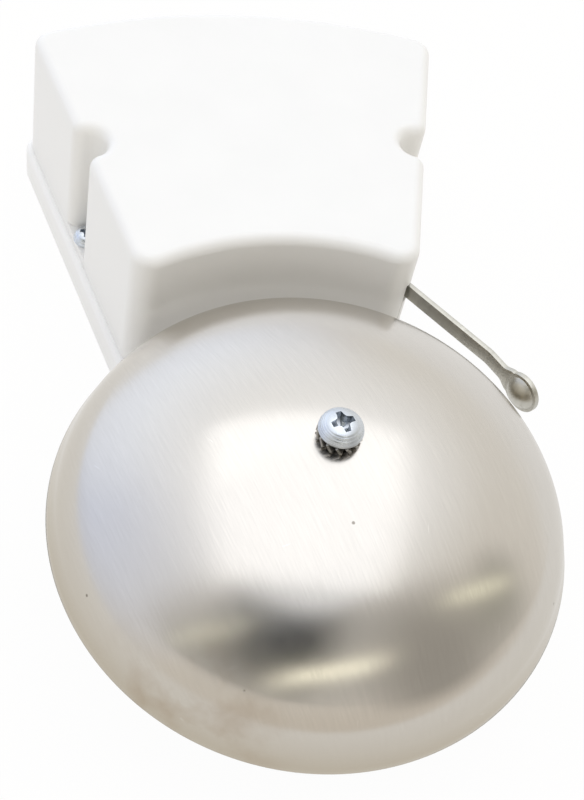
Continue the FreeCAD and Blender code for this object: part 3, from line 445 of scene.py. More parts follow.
def shaded_in_corners(tree, place, clean, reach, amount, corner_shade_color):
    """Colour darkened in its corners, that far out of them: painted shade, with some dust on mouldings and
    tarnish on metals.
    """
    # Painted shade in the corners: the darker colour is laid in where the occlusion mask finds them.
    corner_shade = use(tree, corner_grime_and_shade, Vector=place, Reach=reach)["Mask"]
    return mix_colors(tree, calculate(tree, "MULTIPLY", corner_shade, amount), clean, corner_shade_color)


def raised(tree, height, depth):
    """Normal of a bump with that real depth, from a height between 0 and 1."""
    return add(tree, "Bump", {"Height": height, "Distance": depth, "Strength": 1.0}).outputs[0]


# %% [markdown]
# The cover, the base, the bobbins and the terminal block are all mouldings, and the insulation of the leads
# is near enough to one. They differ in colour, in gloss and in how coarse their skin is. So one function
# makes them all, where a copied material for each would drift apart. Their corners are darkened with painted
# shade and some dust, the tone shifts colour and gloss by a few percent, and a thin clear coat stands for the
# glossy skin of the two outer shells.

# %% Moulded plastics
# Colour laid into the corners of mouldings: painted shade, with some dust in it.
grime_and_shade_color = (0.33, 0.30, 0.26, 1.0)


def moulded(slot, color, roughness, grain, depth, grime_and_shade, coat=0.0):
    """Finish of a moulding; grain is in bumps to a metre, and depth is how high they stand."""
    tree, shader, place = start_finish(slot)
    surface = use(tree, moulded_skin, Vector=place, Grain=grain)
    clouded = mix_colors(tree, surface["Tone"], shade(color, 0.975), shade(color, 1.02))
    scratches = use(tree, handling_scratches, Vector=place, Scale=1400.0, Amount=0.24)["Mask"]
    gloss = stretch(tree, surface["Tone"], 0.3, 0.7, roughness - 0.04, roughness + 0.04)
    # The base colour is darkened in corners: painted shade, with some dust.
    fill(tree, shader, {"Base Color": shaded_in_corners(tree, place, clouded, 3 * MM, grime_and_shade, grime_and_shade_color),
                        "Roughness": plus_part(tree, gloss, scratches, 0.12),
                        "Normal": raised(tree, surface["Height"], depth),
                        "Specular IOR Level": 0.5, "Coat Weight": coat, "Coat Roughness": 0.2})


moulded("cover_plastic", (0.806, 0.800, 0.782), 0.36, 2600.0, 0.012 * MM, 0.25, coat=0.15)
moulded("base_plastic", (0.850, 0.844, 0.826), 0.40, 2600.0, 0.012 * MM, 0.25, coat=0.10)
moulded("bobbin_nylon", (0.74, 0.69, 0.56), 0.48, 3500.0, 0.015 * MM, 0.5)
moulded("terminal_plastic", (0.66, 0.65, 0.60), 0.52, 4200.0, 0.020 * MM, 0.5)
moulded("lead_insulation", (0.018, 0.018, 0.020), 0.42, 2200.0, 0.020 * MM, 0.2)
print("plastics:", list(FINISHES))

# %% [markdown]
# Most of the metal inside is plated or bare sheet and bar, and shows its rolling grain, some worn edges and
# some scratches. A plain metal with one roughness would look like chrome. Here the grain changes the colour a
# little and the gloss more, and lifts the surface by a few microns.

# %% Rolled and plated metals
def rolled(slot, color, roughness, angle, lines, edge_color, shade_and_tarnish=0.5):
    """Finish of sheet or bar; its lines lie that many degrees from Y, and so many to a metre."""
    tree, shader, place = start_finish(slot)
    grain = use(tree, rolled_grain, Vector=place, Angle=math.radians(angle), Lines=lines)
    streaks = stretch(tree, grain["Tone"], 0.3, 0.7, 0.0, 1.0)
    streaked = mix_colors(tree, streaks, shade(color, 0.86), shade(color, 1.05))
    # Corners are darkened towards a darker copy of the metal's own colour: painted shade, with some tarnish.
    shade_and_tarnished = shaded_in_corners(tree, place, streaked, 1.5 * MM, shade_and_tarnish, shade(color, 0.35))
    wear = use(tree, worn_edges, Vector=place, Width=0.18 * MM)["Mask"]
    scratches = use(tree, handling_scratches, Vector=place, Scale=3200.0, Amount=0.29)["Mask"]
    gloss = stretch(tree, grain["Height"], 0.3, 0.7, roughness - 0.07, roughness + 0.07)
    fill(tree, shader, {"Base Color": mix_colors(tree, wear, shade_and_tarnished, edge_color + (1.0,)),
                        "Roughness": plus_part(tree, gloss, scratches, 0.15), "Metallic": 1.0,
                        "Normal": raised(tree, grain["Height"], 0.006 * MM)})


pale_edge = (0.80, 0.79, 0.76)
rolled("chassis_steel", (0.62, 0.60, 0.50), 0.36, 90, 3000.0, pale_edge)
rolled("armature_iron", (0.50, 0.49, 0.47), 0.40, 90, 3600.0, pale_edge)
rolled("spring_bronze", (0.70, 0.44, 0.24), 0.28, 90, 5000.0, (0.86, 0.66, 0.42))
rolled("clapper_steel", (0.550, 0.535, 0.480), 0.36, 115, 4200.0, (0.66, 0.64, 0.58), shade_and_tarnish=0.35)
rolled("brass", (0.76, 0.58, 0.28), 0.27, 0, 4200.0, (0.93, 0.80, 0.52))
rolled("contact_silver", (0.84, 0.83, 0.80), 0.22, 0, 5000.0, (0.92, 0.91, 0.88))
print("with rolled metals:", len(FINISHES))

# %% [markdown]
# Screws, washers, the pillar and the coil cores are round, and their marks are rings. Zinc plating is bluish
# and rather bright, spring steel is dark, soft iron is in between. The rings of the cores go about one core's
# axis, and all others about the gong's. Rings about each screw's own axis would need a material for each, and
# on parts that stand elsewhere these read as the faint curved marks of screws that were plated together in a
# barrel.

# %% Turned metals
def turned_metal(slot, color, roughness, axis, lines, edge_color, shade_and_tarnish):
    """Finish of a round piece; axis is a point and a direction, with so many rings to a metre."""
    tree, shader, place = start_finish(slot)
    rings = use(tree, turned_rings, Vector=place, Centre=axis[0], Axis=axis[1], Lines=lines)
    ringed = mix_colors(tree, rings["Tone"], shade(color, 0.82), shade(color, 1.08))
    clouds = noise(tree, place, 700.0, 3.0)
    clouded = mix_colors(tree, stretch(tree, clouds, 0.45, 0.7, 0.0, 0.45), ringed, shade(color, 0.72))
    # Corners are darkened towards a much darker copy of the metal's own colour: painted shade, with some
    # tarnish.
    shade_and_tarnished = shaded_in_corners(tree, place, clouded, 1.4 * MM, shade_and_tarnish, shade(color, 0.22))
    wear = use(tree, worn_edges, Vector=place, Width=0.12 * MM)["Mask"]
    fill(tree, shader, {"Base Color": mix_colors(tree, wear, shade_and_tarnished, edge_color + (1.0,)),
                        "Roughness": stretch(tree, clouds, 0.3, 0.7, roughness - 0.06, roughness + 0.08),
                        "Metallic": 1.0, "Normal": raised(tree, rings["Height"], 0.008 * MM)})


gong_axis = ((0, 0, 0), (0, 0, 1))
core_axis = ((5.6 * MM, 0, 15.6 * MM), (0, 1, 0))
turned_metal("plated_steel", (0.66, 0.70, 0.745), 0.27, gong_axis, 9000.0, (0.84, 0.87, 0.90), 0.8)
turned_metal("toothed_steel", (0.34, 0.33, 0.31), 0.34, gong_axis, 5000.0, (0.78, 0.77, 0.72), 0.8)
turned_metal("pillar_steel", (0.63, 0.65, 0.68), 0.27, gong_axis, 7000.0, (0.84, 0.86, 0.88), 0.6)
turned_metal("soft_iron", (0.47, 0.47, 0.46), 0.38, core_axis, 6000.0, pale_edge, 0.6)
print("with turned metals:", len(FINISHES))

# %% [markdown]
# Enamelled copper looks wet: copper under a clear amber varnish. Glass round each wire would be true to it
# but slow, so a clear coat over the metal stands for the varnish. The phenolic board is brown paper in resin,
# with fibres that show at its surface, and borrows the rolled grain with a short reach.

# %% Copper wire and phenolic board
tree, shader, place = start_finish("enamelled_copper")
copper_tone = noise(tree, place, 420.0, 3.0)
copper_color = mix_colors(tree, copper_tone, (0.42, 0.13, 0.045, 1), (0.66, 0.26, 0.10, 1))
fill(tree, shader, {"Base Color": copper_color,
                    "Roughness": stretch(tree, copper_tone, 0.3, 0.7, 0.24, 0.38),
                    "Metallic": 0.9, "Coat Weight": 0.7, "Coat Roughness": 0.12})

tree, shader, place = start_finish("phenolic_board")
fibres = use(tree, rolled_grain, Vector=place, Angle=math.radians(20), Lines=2500.0, Reach=6.0)
board_color = mix_colors(tree, fibres["Tone"], (0.085, 0.035, 0.016, 1), (0.19, 0.085, 0.036, 1))
fill(tree, shader, {"Base Color": board_color,
                    "Roughness": stretch(tree, fibres["Height"], 0.3, 0.7, 0.42, 0.6),
                    "Normal": raised(tree, fibres["Height"], 0.010 * MM)})
print("with copper and board:", len(FINISHES))

# %% [markdown]
# The gong is the bell's face: pressed from rolled sheet and plated with nickel, so straight lines run over
# the whole dome at a slant. Lines by the object's own coordinates would be drawn out where the dome turns
# down. So they follow where each point lay on the flat sheet before pressing. The gong's mesh carries that as
# a second set of coordinates, called blank: X across the lines, Y along them, in metres.

# %% Gong sheet
GONG_BLANK = "blank"
gong_color = (0.634, 0.606, 0.564)

gong_tree, gong_shader, gong_place = start_finish("gong_metal")
blank = add(gong_tree, "UVMap", uv_map=GONG_BLANK).outputs[0]
grain = use(gong_tree, rolled_grain, Vector=blank, Lines=6500.0, Reach=26.0)
broad = use(gong_tree, rolled_grain, Vector=blank, Lines=2600.0, Reach=24.0)
streaks = stretch(gong_tree, broad["Height"], 0.32, 0.68, 0.0, 1.0)
streaked = mix_colors(gong_tree, streaks, shade(gong_color, 0.98), shade(gong_color, 1.02))
fine_lines = stretch(gong_tree, grain["Height"], 0.3, 0.7, 0.0, 0.5)
lined = mix_colors(gong_tree, fine_lines, streaked, shade(gong_color, 0.90))
print("gong sheet has", len(gong_tree.nodes), "nodes")

# %% [markdown]
# Towards the rim the nickel is painted darker and warmer: a painted reflection of the shaded, warm floor
# below. Years of handling have left one brown stain at the near left, and specks and bright scratches. A
# painted picture could hold all this. Masks from height, from distance and from noise need none, and stay
# sharp however near one looks.

# %% Gong wear, and painted reflection near the rim
height = add(gong_tree, "SeparateXYZ", {"Vector": gong_place}).outputs["Z"]
# Darker and warmer low on the dome, near the rim: painted reflection of the floor below.
rim_reflection = stretch(gong_tree, height, 22 * MM, 31 * MM, 0.9, 0.0)
rim_reflection_painted = mix_colors(gong_tree, rim_reflection, lined, (0.47, 0.42, 0.335, 1))
stain_place = Vector((-22, -30, 23)) * MM
from_stain = calculate_vector(gong_tree, "DISTANCE", gong_place, stain_place)
blotches = stretch(gong_tree, noise(gong_tree, gong_place, 160.0, 5.0), 0.42, 0.66, 0.0, 0.55)
near_stain = stretch(gong_tree, from_stain, 4 * MM, 16 * MM, 1.0, 0.0)
in_stain = calculate(gong_tree, "MULTIPLY", near_stain, blotches)
stained = mix_colors(gong_tree, in_stain, rim_reflection_painted, (0.36, 0.28, 0.19, 1))
dots = use(gong_tree, specks, Vector=gong_place, Scale=330.0, Share=0.10, Size=0.10)["Mask"]
dotted = mix_colors(gong_tree, calculate(gong_tree, "MULTIPLY", dots, 0.7), stained, (0.16, 0.14, 0.11, 1))
scratches = use(gong_tree, handling_scratches, Vector=blank, Scale=5600.0, Amount=0.205)["Mask"]
scratch_share = calculate(gong_tree, "MULTIPLY", scratches, 0.7)
scratched = mix_colors(gong_tree, scratch_share, dotted, (0.86, 0.85, 0.82, 1))
print("worn gong has", len(gong_tree.nodes), "nodes")

# %% [markdown]
# Fine lines spread light across themselves and not along. Enough bump would show this too, but only with far
# more samples, so anisotropy does it, with its tangent along the blank's X. Smears of handling change the
# gloss from place to place, and a bump of about a micron lets the lines catch the light.

# %% Gong gloss
smears = stretch(gong_tree, noise(gong_tree, gong_place, 75.0, 4.0), 0.35, 0.65, 0.17, 0.22)
across_lines = add(gong_tree, "Tangent", direction_type="UV_MAP", uv_map=GONG_BLANK).outputs[0]
fill(gong_tree, gong_shader, {"Base Color": scratched,
                              "Roughness": plus_part(gong_tree, smears, fine_lines, 0.07),
                              "Metallic": 1.0, "Anisotropic": 0.55, "Tangent": across_lines,
                              "Normal": raised(gong_tree, grain["Height"], 0.0013 * MM)})
print("finishes:", len(FINISHES))

# %% [markdown]
# Every piece made here is a skin over a row of rings: the gong is an outline swept round its axis, a screw
# too, the clapper's arm is a small rectangle pushed along a bent line, the wire a circle along a helix.
# Blender's Screw and Curve tools could make each in its own way. One function that joins rings of points with
# faces makes them all, and closes the two ends where the row doesn't come back to its start.

# %% Skins over rings
def skin(rings, closed=True, loop=False):
    """Mesh through equal rings. closed closes each ring, loop joins the last ring to the first."""
    mesh = bmesh.new()
    rows = [[mesh.verts.new(point) for point in ring] for ring in rings]
    pairs = list(zip(rows, rows[1:])) + ([(rows[-1], rows[0])] if loop else [])
    count = len(rings[0])
    for low, high in pairs:
        for i in range(count if closed else count - 1):
            j = (i + 1) % count
            mesh.faces.new((low[i], low[j], high[j], high[i]))
    if not loop:
        mesh.faces.new(rows[0])
        mesh.faces.new(rows[-1])
    bmesh.ops.recalc_face_normals(mesh, faces=mesh.faces)
    return mesh


def weld(mesh):
    """Joins the points that lie on each other, as at the ends of an outline on the axis."""
    bmesh.ops.remove_doubles(mesh, verts=mesh.verts, dist=0.0001 * MM)
    bmesh.ops.recalc_face_normals(mesh, faces=mesh.faces)
    return mesh


def lathe(outline, segments, closed):
    """Outline of (r, z) points swept round +Z. It is closed, or else both its ends lie on the axis."""
    rings = []
    for i in range(segments):
        turn = 2 * math.pi * i / segments
        rings.append([(r * math.cos(turn), r * math.sin(turn), z) for r, z in outline])
    mesh = skin(rings, closed=closed, loop=True)
    return mesh if closed else weld(mesh)


trial = lathe([(1, 0), (2, 0), (2, 1), (1, 1)], 8, closed=True)
print("a square bar bent round in 8 segments has", len(trial.faces), "faces")
trial.free()

# %% [markdown]
# A mesh becomes a piece of the bell when it has a finish, rides on one of the frame's bodies and stands for
# its nodes. Smooth shading with sharp edges past a given angle keeps the meshes light. More faces would do
# the same, at a price.

# %% From mesh to piece
def to_object(name, mesh):
    data = bpy.data.meshes.new(name)
    mesh.to_mesh(data)
    mesh.free()
    piece = bpy.data.objects.new(name, data)
    bpy.context.scene.collection.objects.link(piece)
    return piece


def join(name, pieces):
    """One object of several, which stay separate shells in its mesh."""
    mesh = bmesh.new()
    for piece in pieces:
        mesh.from_mesh(piece.data)
        bpy.data.objects.remove(piece)
    return to_object(name, mesh)


def make_piece(piece, slot, body, *replaced, crease=35):
    """Gives an object its finish and its body, and hides the frame's nodes that it stands for."""
    piece.data.polygons.foreach_set("use_smooth", [True] * len(piece.data.polygons))
    piece.data.set_sharp_from_angle(angle=math.radians(crease))
    piece.data.materials.clear()
    piece.data.materials.append(FINISHES[slot])
    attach(piece, body)
    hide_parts(*replaced)
    print(piece.name, len(piece.data.polygons), "faces")


# %% [markdown]
# In section the gong is a shallow crown, a rounder shoulder and a short leaning skirt, each tangent to the
# next. A spline could be pulled into this shape, but a pressing tool is cut with true arcs. The shoulder's
# radius is given, and the crown's centre follows: it is the point on the axis from which the crown just
# touches the shoulder. The same curves, one wall's thickness inwards, give the inside, and a round rim joins
# the two.

# %% Gong outline
gong_low, gong_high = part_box("gong")
gong_radius = gong_high.x
gong_wall = 0.9 * MM
shoulder_radius = 13.6 * MM
skirt_length = 4 * MM
skirt_lean = math.radians(18)
gong_hole = 1.8 * MM

inward = Vector((-math.cos(skirt_lean), -math.sin(skirt_lean)))
rim = Vector((gong_radius, gong_low.z))
skirt_top = rim + skirt_length * Vector((-math.sin(skirt_lean), math.cos(skirt_lean)))
shoulder_centre = skirt_top + inward * shoulder_radius
rise = gong_high.z - shoulder_radius
crown_centre = Vector((0, (rise ** 2 - shoulder_centre.length_squared) / (2 * (rise - shoulder_centre.y))))
crown_radius = gong_high.z - crown_centre.y
shoulder_start = math.atan2(shoulder_centre.x, (shoulder_centre - crown_centre).y)


def arc(centre, radius, start, end, steps):
    """Points in a plane along an arc, whose angles are counted from its top."""
    angles = [start + (end - start) * i / steps for i in range(steps + 1)]
    return [Vector(centre) + radius * Vector((math.sin(angle), math.cos(angle))) for angle in angles]


def gong_side(depth):
    """Points from the hole to the rim, that deep inside the gong's outer face."""
    hole_angle = math.asin(gong_hole / (crown_radius - depth))
    crown = arc(crown_centre, crown_radius - depth, hole_angle, shoulder_start, 30)
    shoulder = arc(shoulder_centre, shoulder_radius - depth, shoulder_start, math.pi / 2 - skirt_lean, 24)
    rim_round = gong_wall / 2 / math.cos(skirt_lean)
    skirt_start = shoulder[-1]
    skirt_end = rim + inward * depth + Vector((0, rim_round))
    skirt = [skirt_start + (skirt_end - skirt_start) * i / 4 for i in range(1, 5)]
    return crown + shoulder[1:] + skirt


outer_side = gong_side(0)
inner_side = gong_side(gong_wall)
rim_middle = (outer_side[-1] + inner_side[-1]) / 2
rim_half = (outer_side[-1] - inner_side[-1]).length / 2
down = Vector((0, -1))
rim_arc = [rim_middle + rim_half * (-inward * math.cos(turn) + down * math.sin(turn))
           for turn in [math.pi * i / 8 for i in range(1, 8)]]
gong_outline = outer_side + rim_arc + inner_side[::-1]
print("crown radius in mm", round(crown_radius / MM, 2))

# %% [markdown]
# On the lathe the outline becomes the dome. Then each point is given its place on the flat sheet: as far from
# the centre as the path along the metal is long. A map from straight above would be quicker, but would smear
# the lines down the skirt. The lines lie at a slant of about eighteen degrees to the bell's long axis.

# %% Gong
gong_segments = 200
grain_turn = math.radians(17.7)
gong = to_object("gong_dome", lathe(gong_outline, gong_segments, closed=True))
make_piece(gong, "gong_metal", "root", "gong")

walked = [outer_side[0].x]
for before, after in zip(gong_outline, gong_outline[1:]):
    walked.append(walked[-1] + (after - before).length)
rim_point = len(outer_side) + len(rim_arc) // 2
blank_radius = [walk if i <= rim_point else 2 * walked[rim_point] - walk for i, walk in enumerate(walked)]
blank_map = gong.data.uv_layers.new(name=GONG_BLANK)
for corner in gong.data.loops:
    segment, point = divmod(corner.vertex_index, len(gong_outline))
    angle = 2 * math.pi * segment / gong_segments - grain_turn
    reach = blank_radius[point]
    blank_map.data[corner.index].uv = (reach * math.cos(angle), reach * math.sin(angle))
print("blank radius in mm", round(walked[rim_point] / MM, 1))

# %% [markdown]
# A pan head screw is headed and rolled, not cut. Its head is a low dome on a short wall, with rings that the
# heading tool left on the shoulder, and a cross recess whose wings taper and narrow as they go down. A bump
# could fake the recess, but it shows its walls here. So head and shank are one outline on the lathe, and a
# cutter in the shape of the recess is taken out of it.

# %% Pan head screws
def head_outline(radius, height, shank_radius, length, rings):
    """(r, z) from the tip of the shank to the top of the head; the seat is at z = 0."""
    chamfer = shank_radius * 0.25
    dome_radius = radius * 0.975
    wall = height * 0.20
    points = [(0, -length), (shank_radius - chamfer, -length), (shank_radius, chamfer - length),
              (shank_radius, 0), (radius * 0.97, 0), (radius, height * 0.04), (radius, height * 0.12),
              (dome_radius, height * 0.16)]
    steps = 60
    for i in range(steps + 1):
        lean = math.pi / 2 * i / steps
        ringed = math.sqrt(max(0.0, 1 - 2 * i / steps))
        groove = dome_radius * 0.022 * ringed * (0.5 - 0.5 * math.cos(4 * math.pi * rings * i / steps))
        r = (dome_radius - groove) * math.cos(lean)
        points.append((r, wall + (height - wall - groove) * math.sin(lean)))
    return points


def cross_ring(reach, half, z):
    """Corners of a cross with wings of that reach and half width; its inner corners are softened."""
    ring = []
    soft = half * 0.9
    for i in range(4):
        turn = Matrix.Rotation(math.pi / 2 * i, 3, "Z")
        corners = ((reach, -half * 0.8), (reach, half * 0.8), (half + soft, half),
                   (half + soft * 0.3, half + soft * 0.3), (half, half + soft))
        ring += [turn @ Vector((x, y, z)) for x, y in corners]
    return ring


def cut_out(piece, cutter, edge_round):
    """Takes the cutter's shape out of the piece, softens the new edges, and deletes the cutter."""
    cut = piece.modifiers.new("cut", "BOOLEAN")
    cut.object = cutter
    cut.solver = "EXACT"
    soften = piece.modifiers.new("soften", "BEVEL")
    soften.width = edge_round
    soften.segments = 2
    soften.limit_method = "ANGLE"
    soften.angle_limit = math.radians(50)
    bpy.context.view_layer.update()
    evaluated = piece.evaluated_get(bpy.context.evaluated_depsgraph_get())
    uncut = piece.data
    piece.data = bpy.data.meshes.new_from_object(evaluated)
    piece.modifiers.clear()
    bpy.data.meshes.remove(uncut)
    bpy.data.objects.remove(cutter)


# Reach and half width of the wings as shares of the head's radius, and height as a share of the head's.
recess = ((0.53, 0.165, 1.05), (0.52, 0.160, 0.85), (0.44, 0.145, 0.25), (0.05, 0.02, -0.0125))


def pan_screw(name, radius, height, shank_radius, length, rings=5):
    """Screw on the Z axis with its seat at z = 0."""
    outline = head_outline(radius, height, shank_radius, length, rings)
    screw = to_object(name, lathe(outline, 96, closed=False))
    sections = [cross_ring(radius * reach, radius * half, height * up) for reach, half, up in recess]
    cut_out(screw, to_object(name + "_cutter", skin(sections)), radius * 0.012)
    return screw


print("a recess has", len(recess), "sections of", len(cross_ring(*recess[0])), "corners")

# %% [markdown]
# The gong's screw is the bell's centre. It stands on its toothed washer, turned a little as in any real
# assembly. The two cover screws are smaller ones of the same kind, at the foot of the notches in the cover's
# sides. They are made twice and joined, where linked copies would be two pieces for one node of the frame.

# %% Gong screw and cover screws
M3_SHANK = 1.45 * MM


def stand(piece, place, spin):
    """Moves the mesh to its place, turned by spin degrees; the object stays at the origin."""
    piece.data.transform(Matrix.Translation(place) @ Matrix.Rotation(math.radians(spin), 4, "Z"))
    return piece


screw_low, screw_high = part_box("gong_screw")
head_height = 2.1 * MM
seat_z = screw_high.z - head_height
gong_screw = pan_screw("gong_screw_headed", screw_high.x, head_height, M3_SHANK, seat_z - screw_low.z)
make_piece(stand(gong_screw, Vector((0, 0, seat_z)), 15), "plated_steel", "root", "gong_screw")

cover_low, cover_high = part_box("cover_screws")
small_head = 2.4 * MM
small_height = 1.9 * MM
small_seat = cover_high.z - small_height
pair = []
for side in (-1, 1):
    notch = Vector((side * (cover_high.x - small_head), (cover_low.y + cover_high.y) / 2, small_seat))
    small = pan_screw("cover_screw", small_head, small_height, M3_SHANK, small_seat - cover_low.z, rings=3)
    pair.append(stand(small, notch, 20 * side))
make_piece(join("cover_screws_headed", pair), "plated_steel", "cover", "cover_screws")

# %% [markdown]
# The lock washer's teeth are twisted as they leave the ring, so that each bites with one corner. A flat star
# that is bent by a modifier would twist the ring as well. So a tooth is a small rectangle that turns as it
# moves outwards, and it reaches a little into the ring at its root.

# %% Toothed washer
washer_low, washer_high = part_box("gong_tooth_washer")
washer_z = (washer_low.z + washer_high.z) / 2
washer_reach = washer_high.x
washer_ring = 2.33 * MM
washer_bore = 1.6 * MM
tooth_half = 0.725 * MM
blade_half = 0.20 * MM
blade_soft = 0.06 * MM
tooth_twist = math.radians(-55)
tooth_count = 14
tooth_steps = 6


def softened_box(left, right, half, soft):
    """Corners of a rectangle about a level line, with each corner cut off."""
    return [(left, -half + soft), (left + soft, -half), (right - soft, -half), (right, -half + soft),
            (right, half - soft), (right - soft, half), (left + soft, half), (left, half - soft)]


ring_outline = [(r, z + washer_z) for r, z in softened_box(washer_bore, washer_ring, blade_half, blade_soft)]
washer = [to_object("ring", lathe(ring_outline, 84, closed=True))]
root = washer_ring - 0.4 * MM
tip = washer_reach - 0.03 * MM
for number in range(tooth_count):
    about = Matrix.Rotation(2 * math.pi * number / tooth_count, 3, "Z")
    sections = []
    for step in range(tooth_steps + 1):
        share = step / tooth_steps
        twist = Matrix.Rotation(tooth_twist * min(1.0, share * 1.6), 3, "X")
        shrink = blade_soft if step in (0, tooth_steps) else 0
        corners = softened_box(shrink - tooth_half, tooth_half - shrink, blade_half - shrink, blade_soft)
        centre = Vector((root + (tip - root) * share, 0, washer_z))
        sections.append([about @ (twist @ Vector((0, y, z)) + centre) for y, z in corners])
    washer.append(to_object("tooth", skin(sections)))
make_piece(join("tooth_washer_twisted", washer), "toothed_steel", "root", "gong_tooth_washer")

# %% [markdown]
# The clapper is one steel strip standing on edge: a foot that is riveted to the armature, a long arm out
# through the cover's slot, a slow bend beside the gong, and a disc with a dome pressed into it. Its line is
# drawn in plan as a bender would work: straight runs, and an arc of a given radius at each bend. A free curve
# would leave the arm nowhere quite straight.

# %% Clapper line
arm_thickness = 0.9 * MM
arm_half_height = 1.4 * MM
arm_z = 22.4 * MM
foot_y = 54.65 * MM
foot_low_z = 11.5 * MM
foot_right = 10.8 * MM
disc_radius = 3.4 * MM
hammer_turn = math.radians(27.05)
hammer_out = Vector((math.cos(hammer_turn), math.sin(hammer_turn), 0))
hammer_along = Vector((math.sin(hammer_turn), -math.cos(hammer_turn), 0))
hammer_centre = Vector((37.346 * MM, 19.07 * MM, arm_z))
foot_start = Vector((-0.5 * MM, foot_y, arm_z))
foot_bend = Vector((12.3 * MM, foot_y, arm_z))
tip_bend = hammer_centre - hammer_along * 8 * MM
arm_end = hammer_centre - hammer_along * 1.2 * MM


def bent_line(points, radii, step):
    """Points along straight runs joined by tangent arcs, each with the direction there."""
    line = []
    start = points[0]
    for corner, after, radius in zip(points[1:], points[2:], radii):
        first = (corner - start).normalized()
        second = (after - corner).normalized()
        turn = first.angle(second)
        reach = radius * math.tan(turn / 2)
        arc_start = corner - first * reach
        count = max(2, round((arc_start - start).length / step))
        line += [(start.lerp(arc_start, i / count), first) for i in range(count)]
        side = (second - first * first.dot(second)).normalized()
        arc_count = max(6, round(radius * turn / step))
        for i in range(arc_count):
            angle = turn * i / arc_count
            line.append((arc_start + radius * (first * math.sin(angle) + side * (1 - math.cos(angle))),
                         first * math.cos(angle) + side * math.sin(angle)))
        start = corner + second * reach
    count = max(2, round((points[-1] - start).length / step))
    line += [(start.lerp(points[-1], i / count), second) for i in range(count + 1)]
    return line


arm_line = bent_line([foot_start, foot_bend, tip_bend, arm_end], (1.5 * MM, 6 * MM), 0.45 * MM)
print("arm line has", len(arm_line), "points")

# %% [markdown]
# The arm is a rounded rectangle pushed along that line. Its height changes on the way: tall at the foot,
# narrow along the arm, and wider again where it flows into the disc. It ends inside the disc, a hair thinner
# than it, so that neither face flickers through the other. A Curve object with this section would be quicker,
# but its taper would change the thickness together with the height.

# %% Clapper arm
flare_height = 0.95 * MM
arm_corner = 0.08 * MM
hair = 0.01 * MM


def smooth_step(value, low, high):
    share = min(1.0, max(0.0, (value - low) / (high - low)))
    return share * share * (3 - 2 * share)


def arm_section(centre, along):
    """Rounded rectangle across the strip at one point of its line."""
    across = Vector((-along.y, along.x, 0))
    on_foot = 1 - smooth_step(centre.x, foot_right - 0.3 * MM, foot_right + 0.7 * MM)
    to_disc = (hammer_centre - centre).length
    flare = (1 - smooth_step(to_disc, disc_radius * 0.75, disc_radius + 1.3 * MM)) * flare_height
    arm_low = centre.z - arm_half_height
    low = arm_low + (foot_low_z - arm_low) * on_foot - flare
    high = centre.z + arm_half_height + flare
    half = arm_thickness / 2 - hair
    section = []
    for quarter, (side, z) in enumerate(((half, high), (-half, high), (-half, low), (half, low))):
        corner_side = side - math.copysign(arm_corner, side)
        corner_z = z - arm_corner if z == high else z + arm_corner
        for i in range(4):
            angle = math.pi / 2 * (quarter + i / 3)
            point = Vector((centre.x, centre.y, corner_z + arm_corner * math.sin(angle)))
            section.append(point + across * (corner_side + arm_corner * math.cos(angle)))
    return section


arm = to_object("arm", skin([arm_section(centre, along) for centre, along in arm_line]))
print("arm", round(2 * (arm_half_height + flare_height) / MM, 2), "mm high at the disc")

# %% [markdown]
# The disc is pressed from the end of the same strip: a rounded rim, a flat ring, a dome on the gong's side
# and its hollow on the other. Pressing could be copied with a bent grid, but the disc is round, so it is
# turned on the lathe like the screws and then laid against the arm.

# %% Clapper disc
dome_reach = 2.85 * MM
dome_rise = 1.4 * MM
disc_half = arm_thickness / 2
disc_soft = 0.14 * MM
dome_radius = (dome_reach ** 2 + dome_rise ** 2) / (2 * dome_rise)
dome_centre = disc_half + dome_rise - dome_radius


def cap(radius, foot):
    """(r, z) of a cap about the dome's centre, from the axis down to that height."""
    return arc((0, dome_centre), radius, 0, math.acos((foot - dome_centre) / radius), 14)


rim_front = arc((disc_radius - disc_soft, disc_half - disc_soft), disc_soft, 0, math.pi / 2, 4)
rim_back = [(r, -z) for r, z in reversed(rim_front)]
hollow = cap(dome_radius - arm_thickness, -disc_half)
disc_outline = cap(dome_radius, disc_half) + rim_front + rim_back + hollow[::-1]
disc = to_object("disc", lathe(disc_outline, 72, closed=False))
facing_gong = (-hammer_out).to_track_quat("Z", "Y").to_matrix().to_4x4()
disc.data.transform(Matrix.Translation(hammer_centre) @ facing_gong)
make_piece(join("clapper_pressed", [arm, disc]), "clapper_steel", "armature", "clapper")

# %% [markdown]
# Each coil is wound with thin enamelled wire, turn beside turn. A striped bump on a drum would look right
# from far away only. Just the outer layer shows, so it alone is real wire: a helix with a turn for every
# wire's width, over a plain drum of the same copper. A helix is two sweeps in one, round and along, and the
# skin needs only a small circle at each step.

# %% Coil windings
wire_radius = 0.19 * MM
wire_pitch = 2 * wire_radius * 1.01
drum_bore = 4.0 * MM
steps_in_turn = 40
lie_down = Matrix.Rotation(math.radians(90), 4, "X")


def helix_wire(axis_x, axis_z, start_y, end_y, outer_radius):
    """Mesh of a wire wound about a line along Y, and the number of its turns."""
    turns = math.floor((end_y - start_y - 2 * wire_radius) / wire_pitch)
    sections = []
    for step in range(turns * steps_in_turn + 1):
        turn = 2 * math.pi * step / steps_in_turn
        out = Vector((math.cos(turn), 0, math.sin(turn)))
        y = start_y + wire_radius + wire_pitch * step / steps_in_turn
        centre = Vector((axis_x, y, axis_z)) + out * (outer_radius - wire_radius)
        sections.append([centre + wire_radius * (out * math.cos(angle) + Vector((0, math.sin(angle), 0)))
                         for angle in [2 * math.pi * i / 6 for i in range(6)]])
    return skin(sections), turns


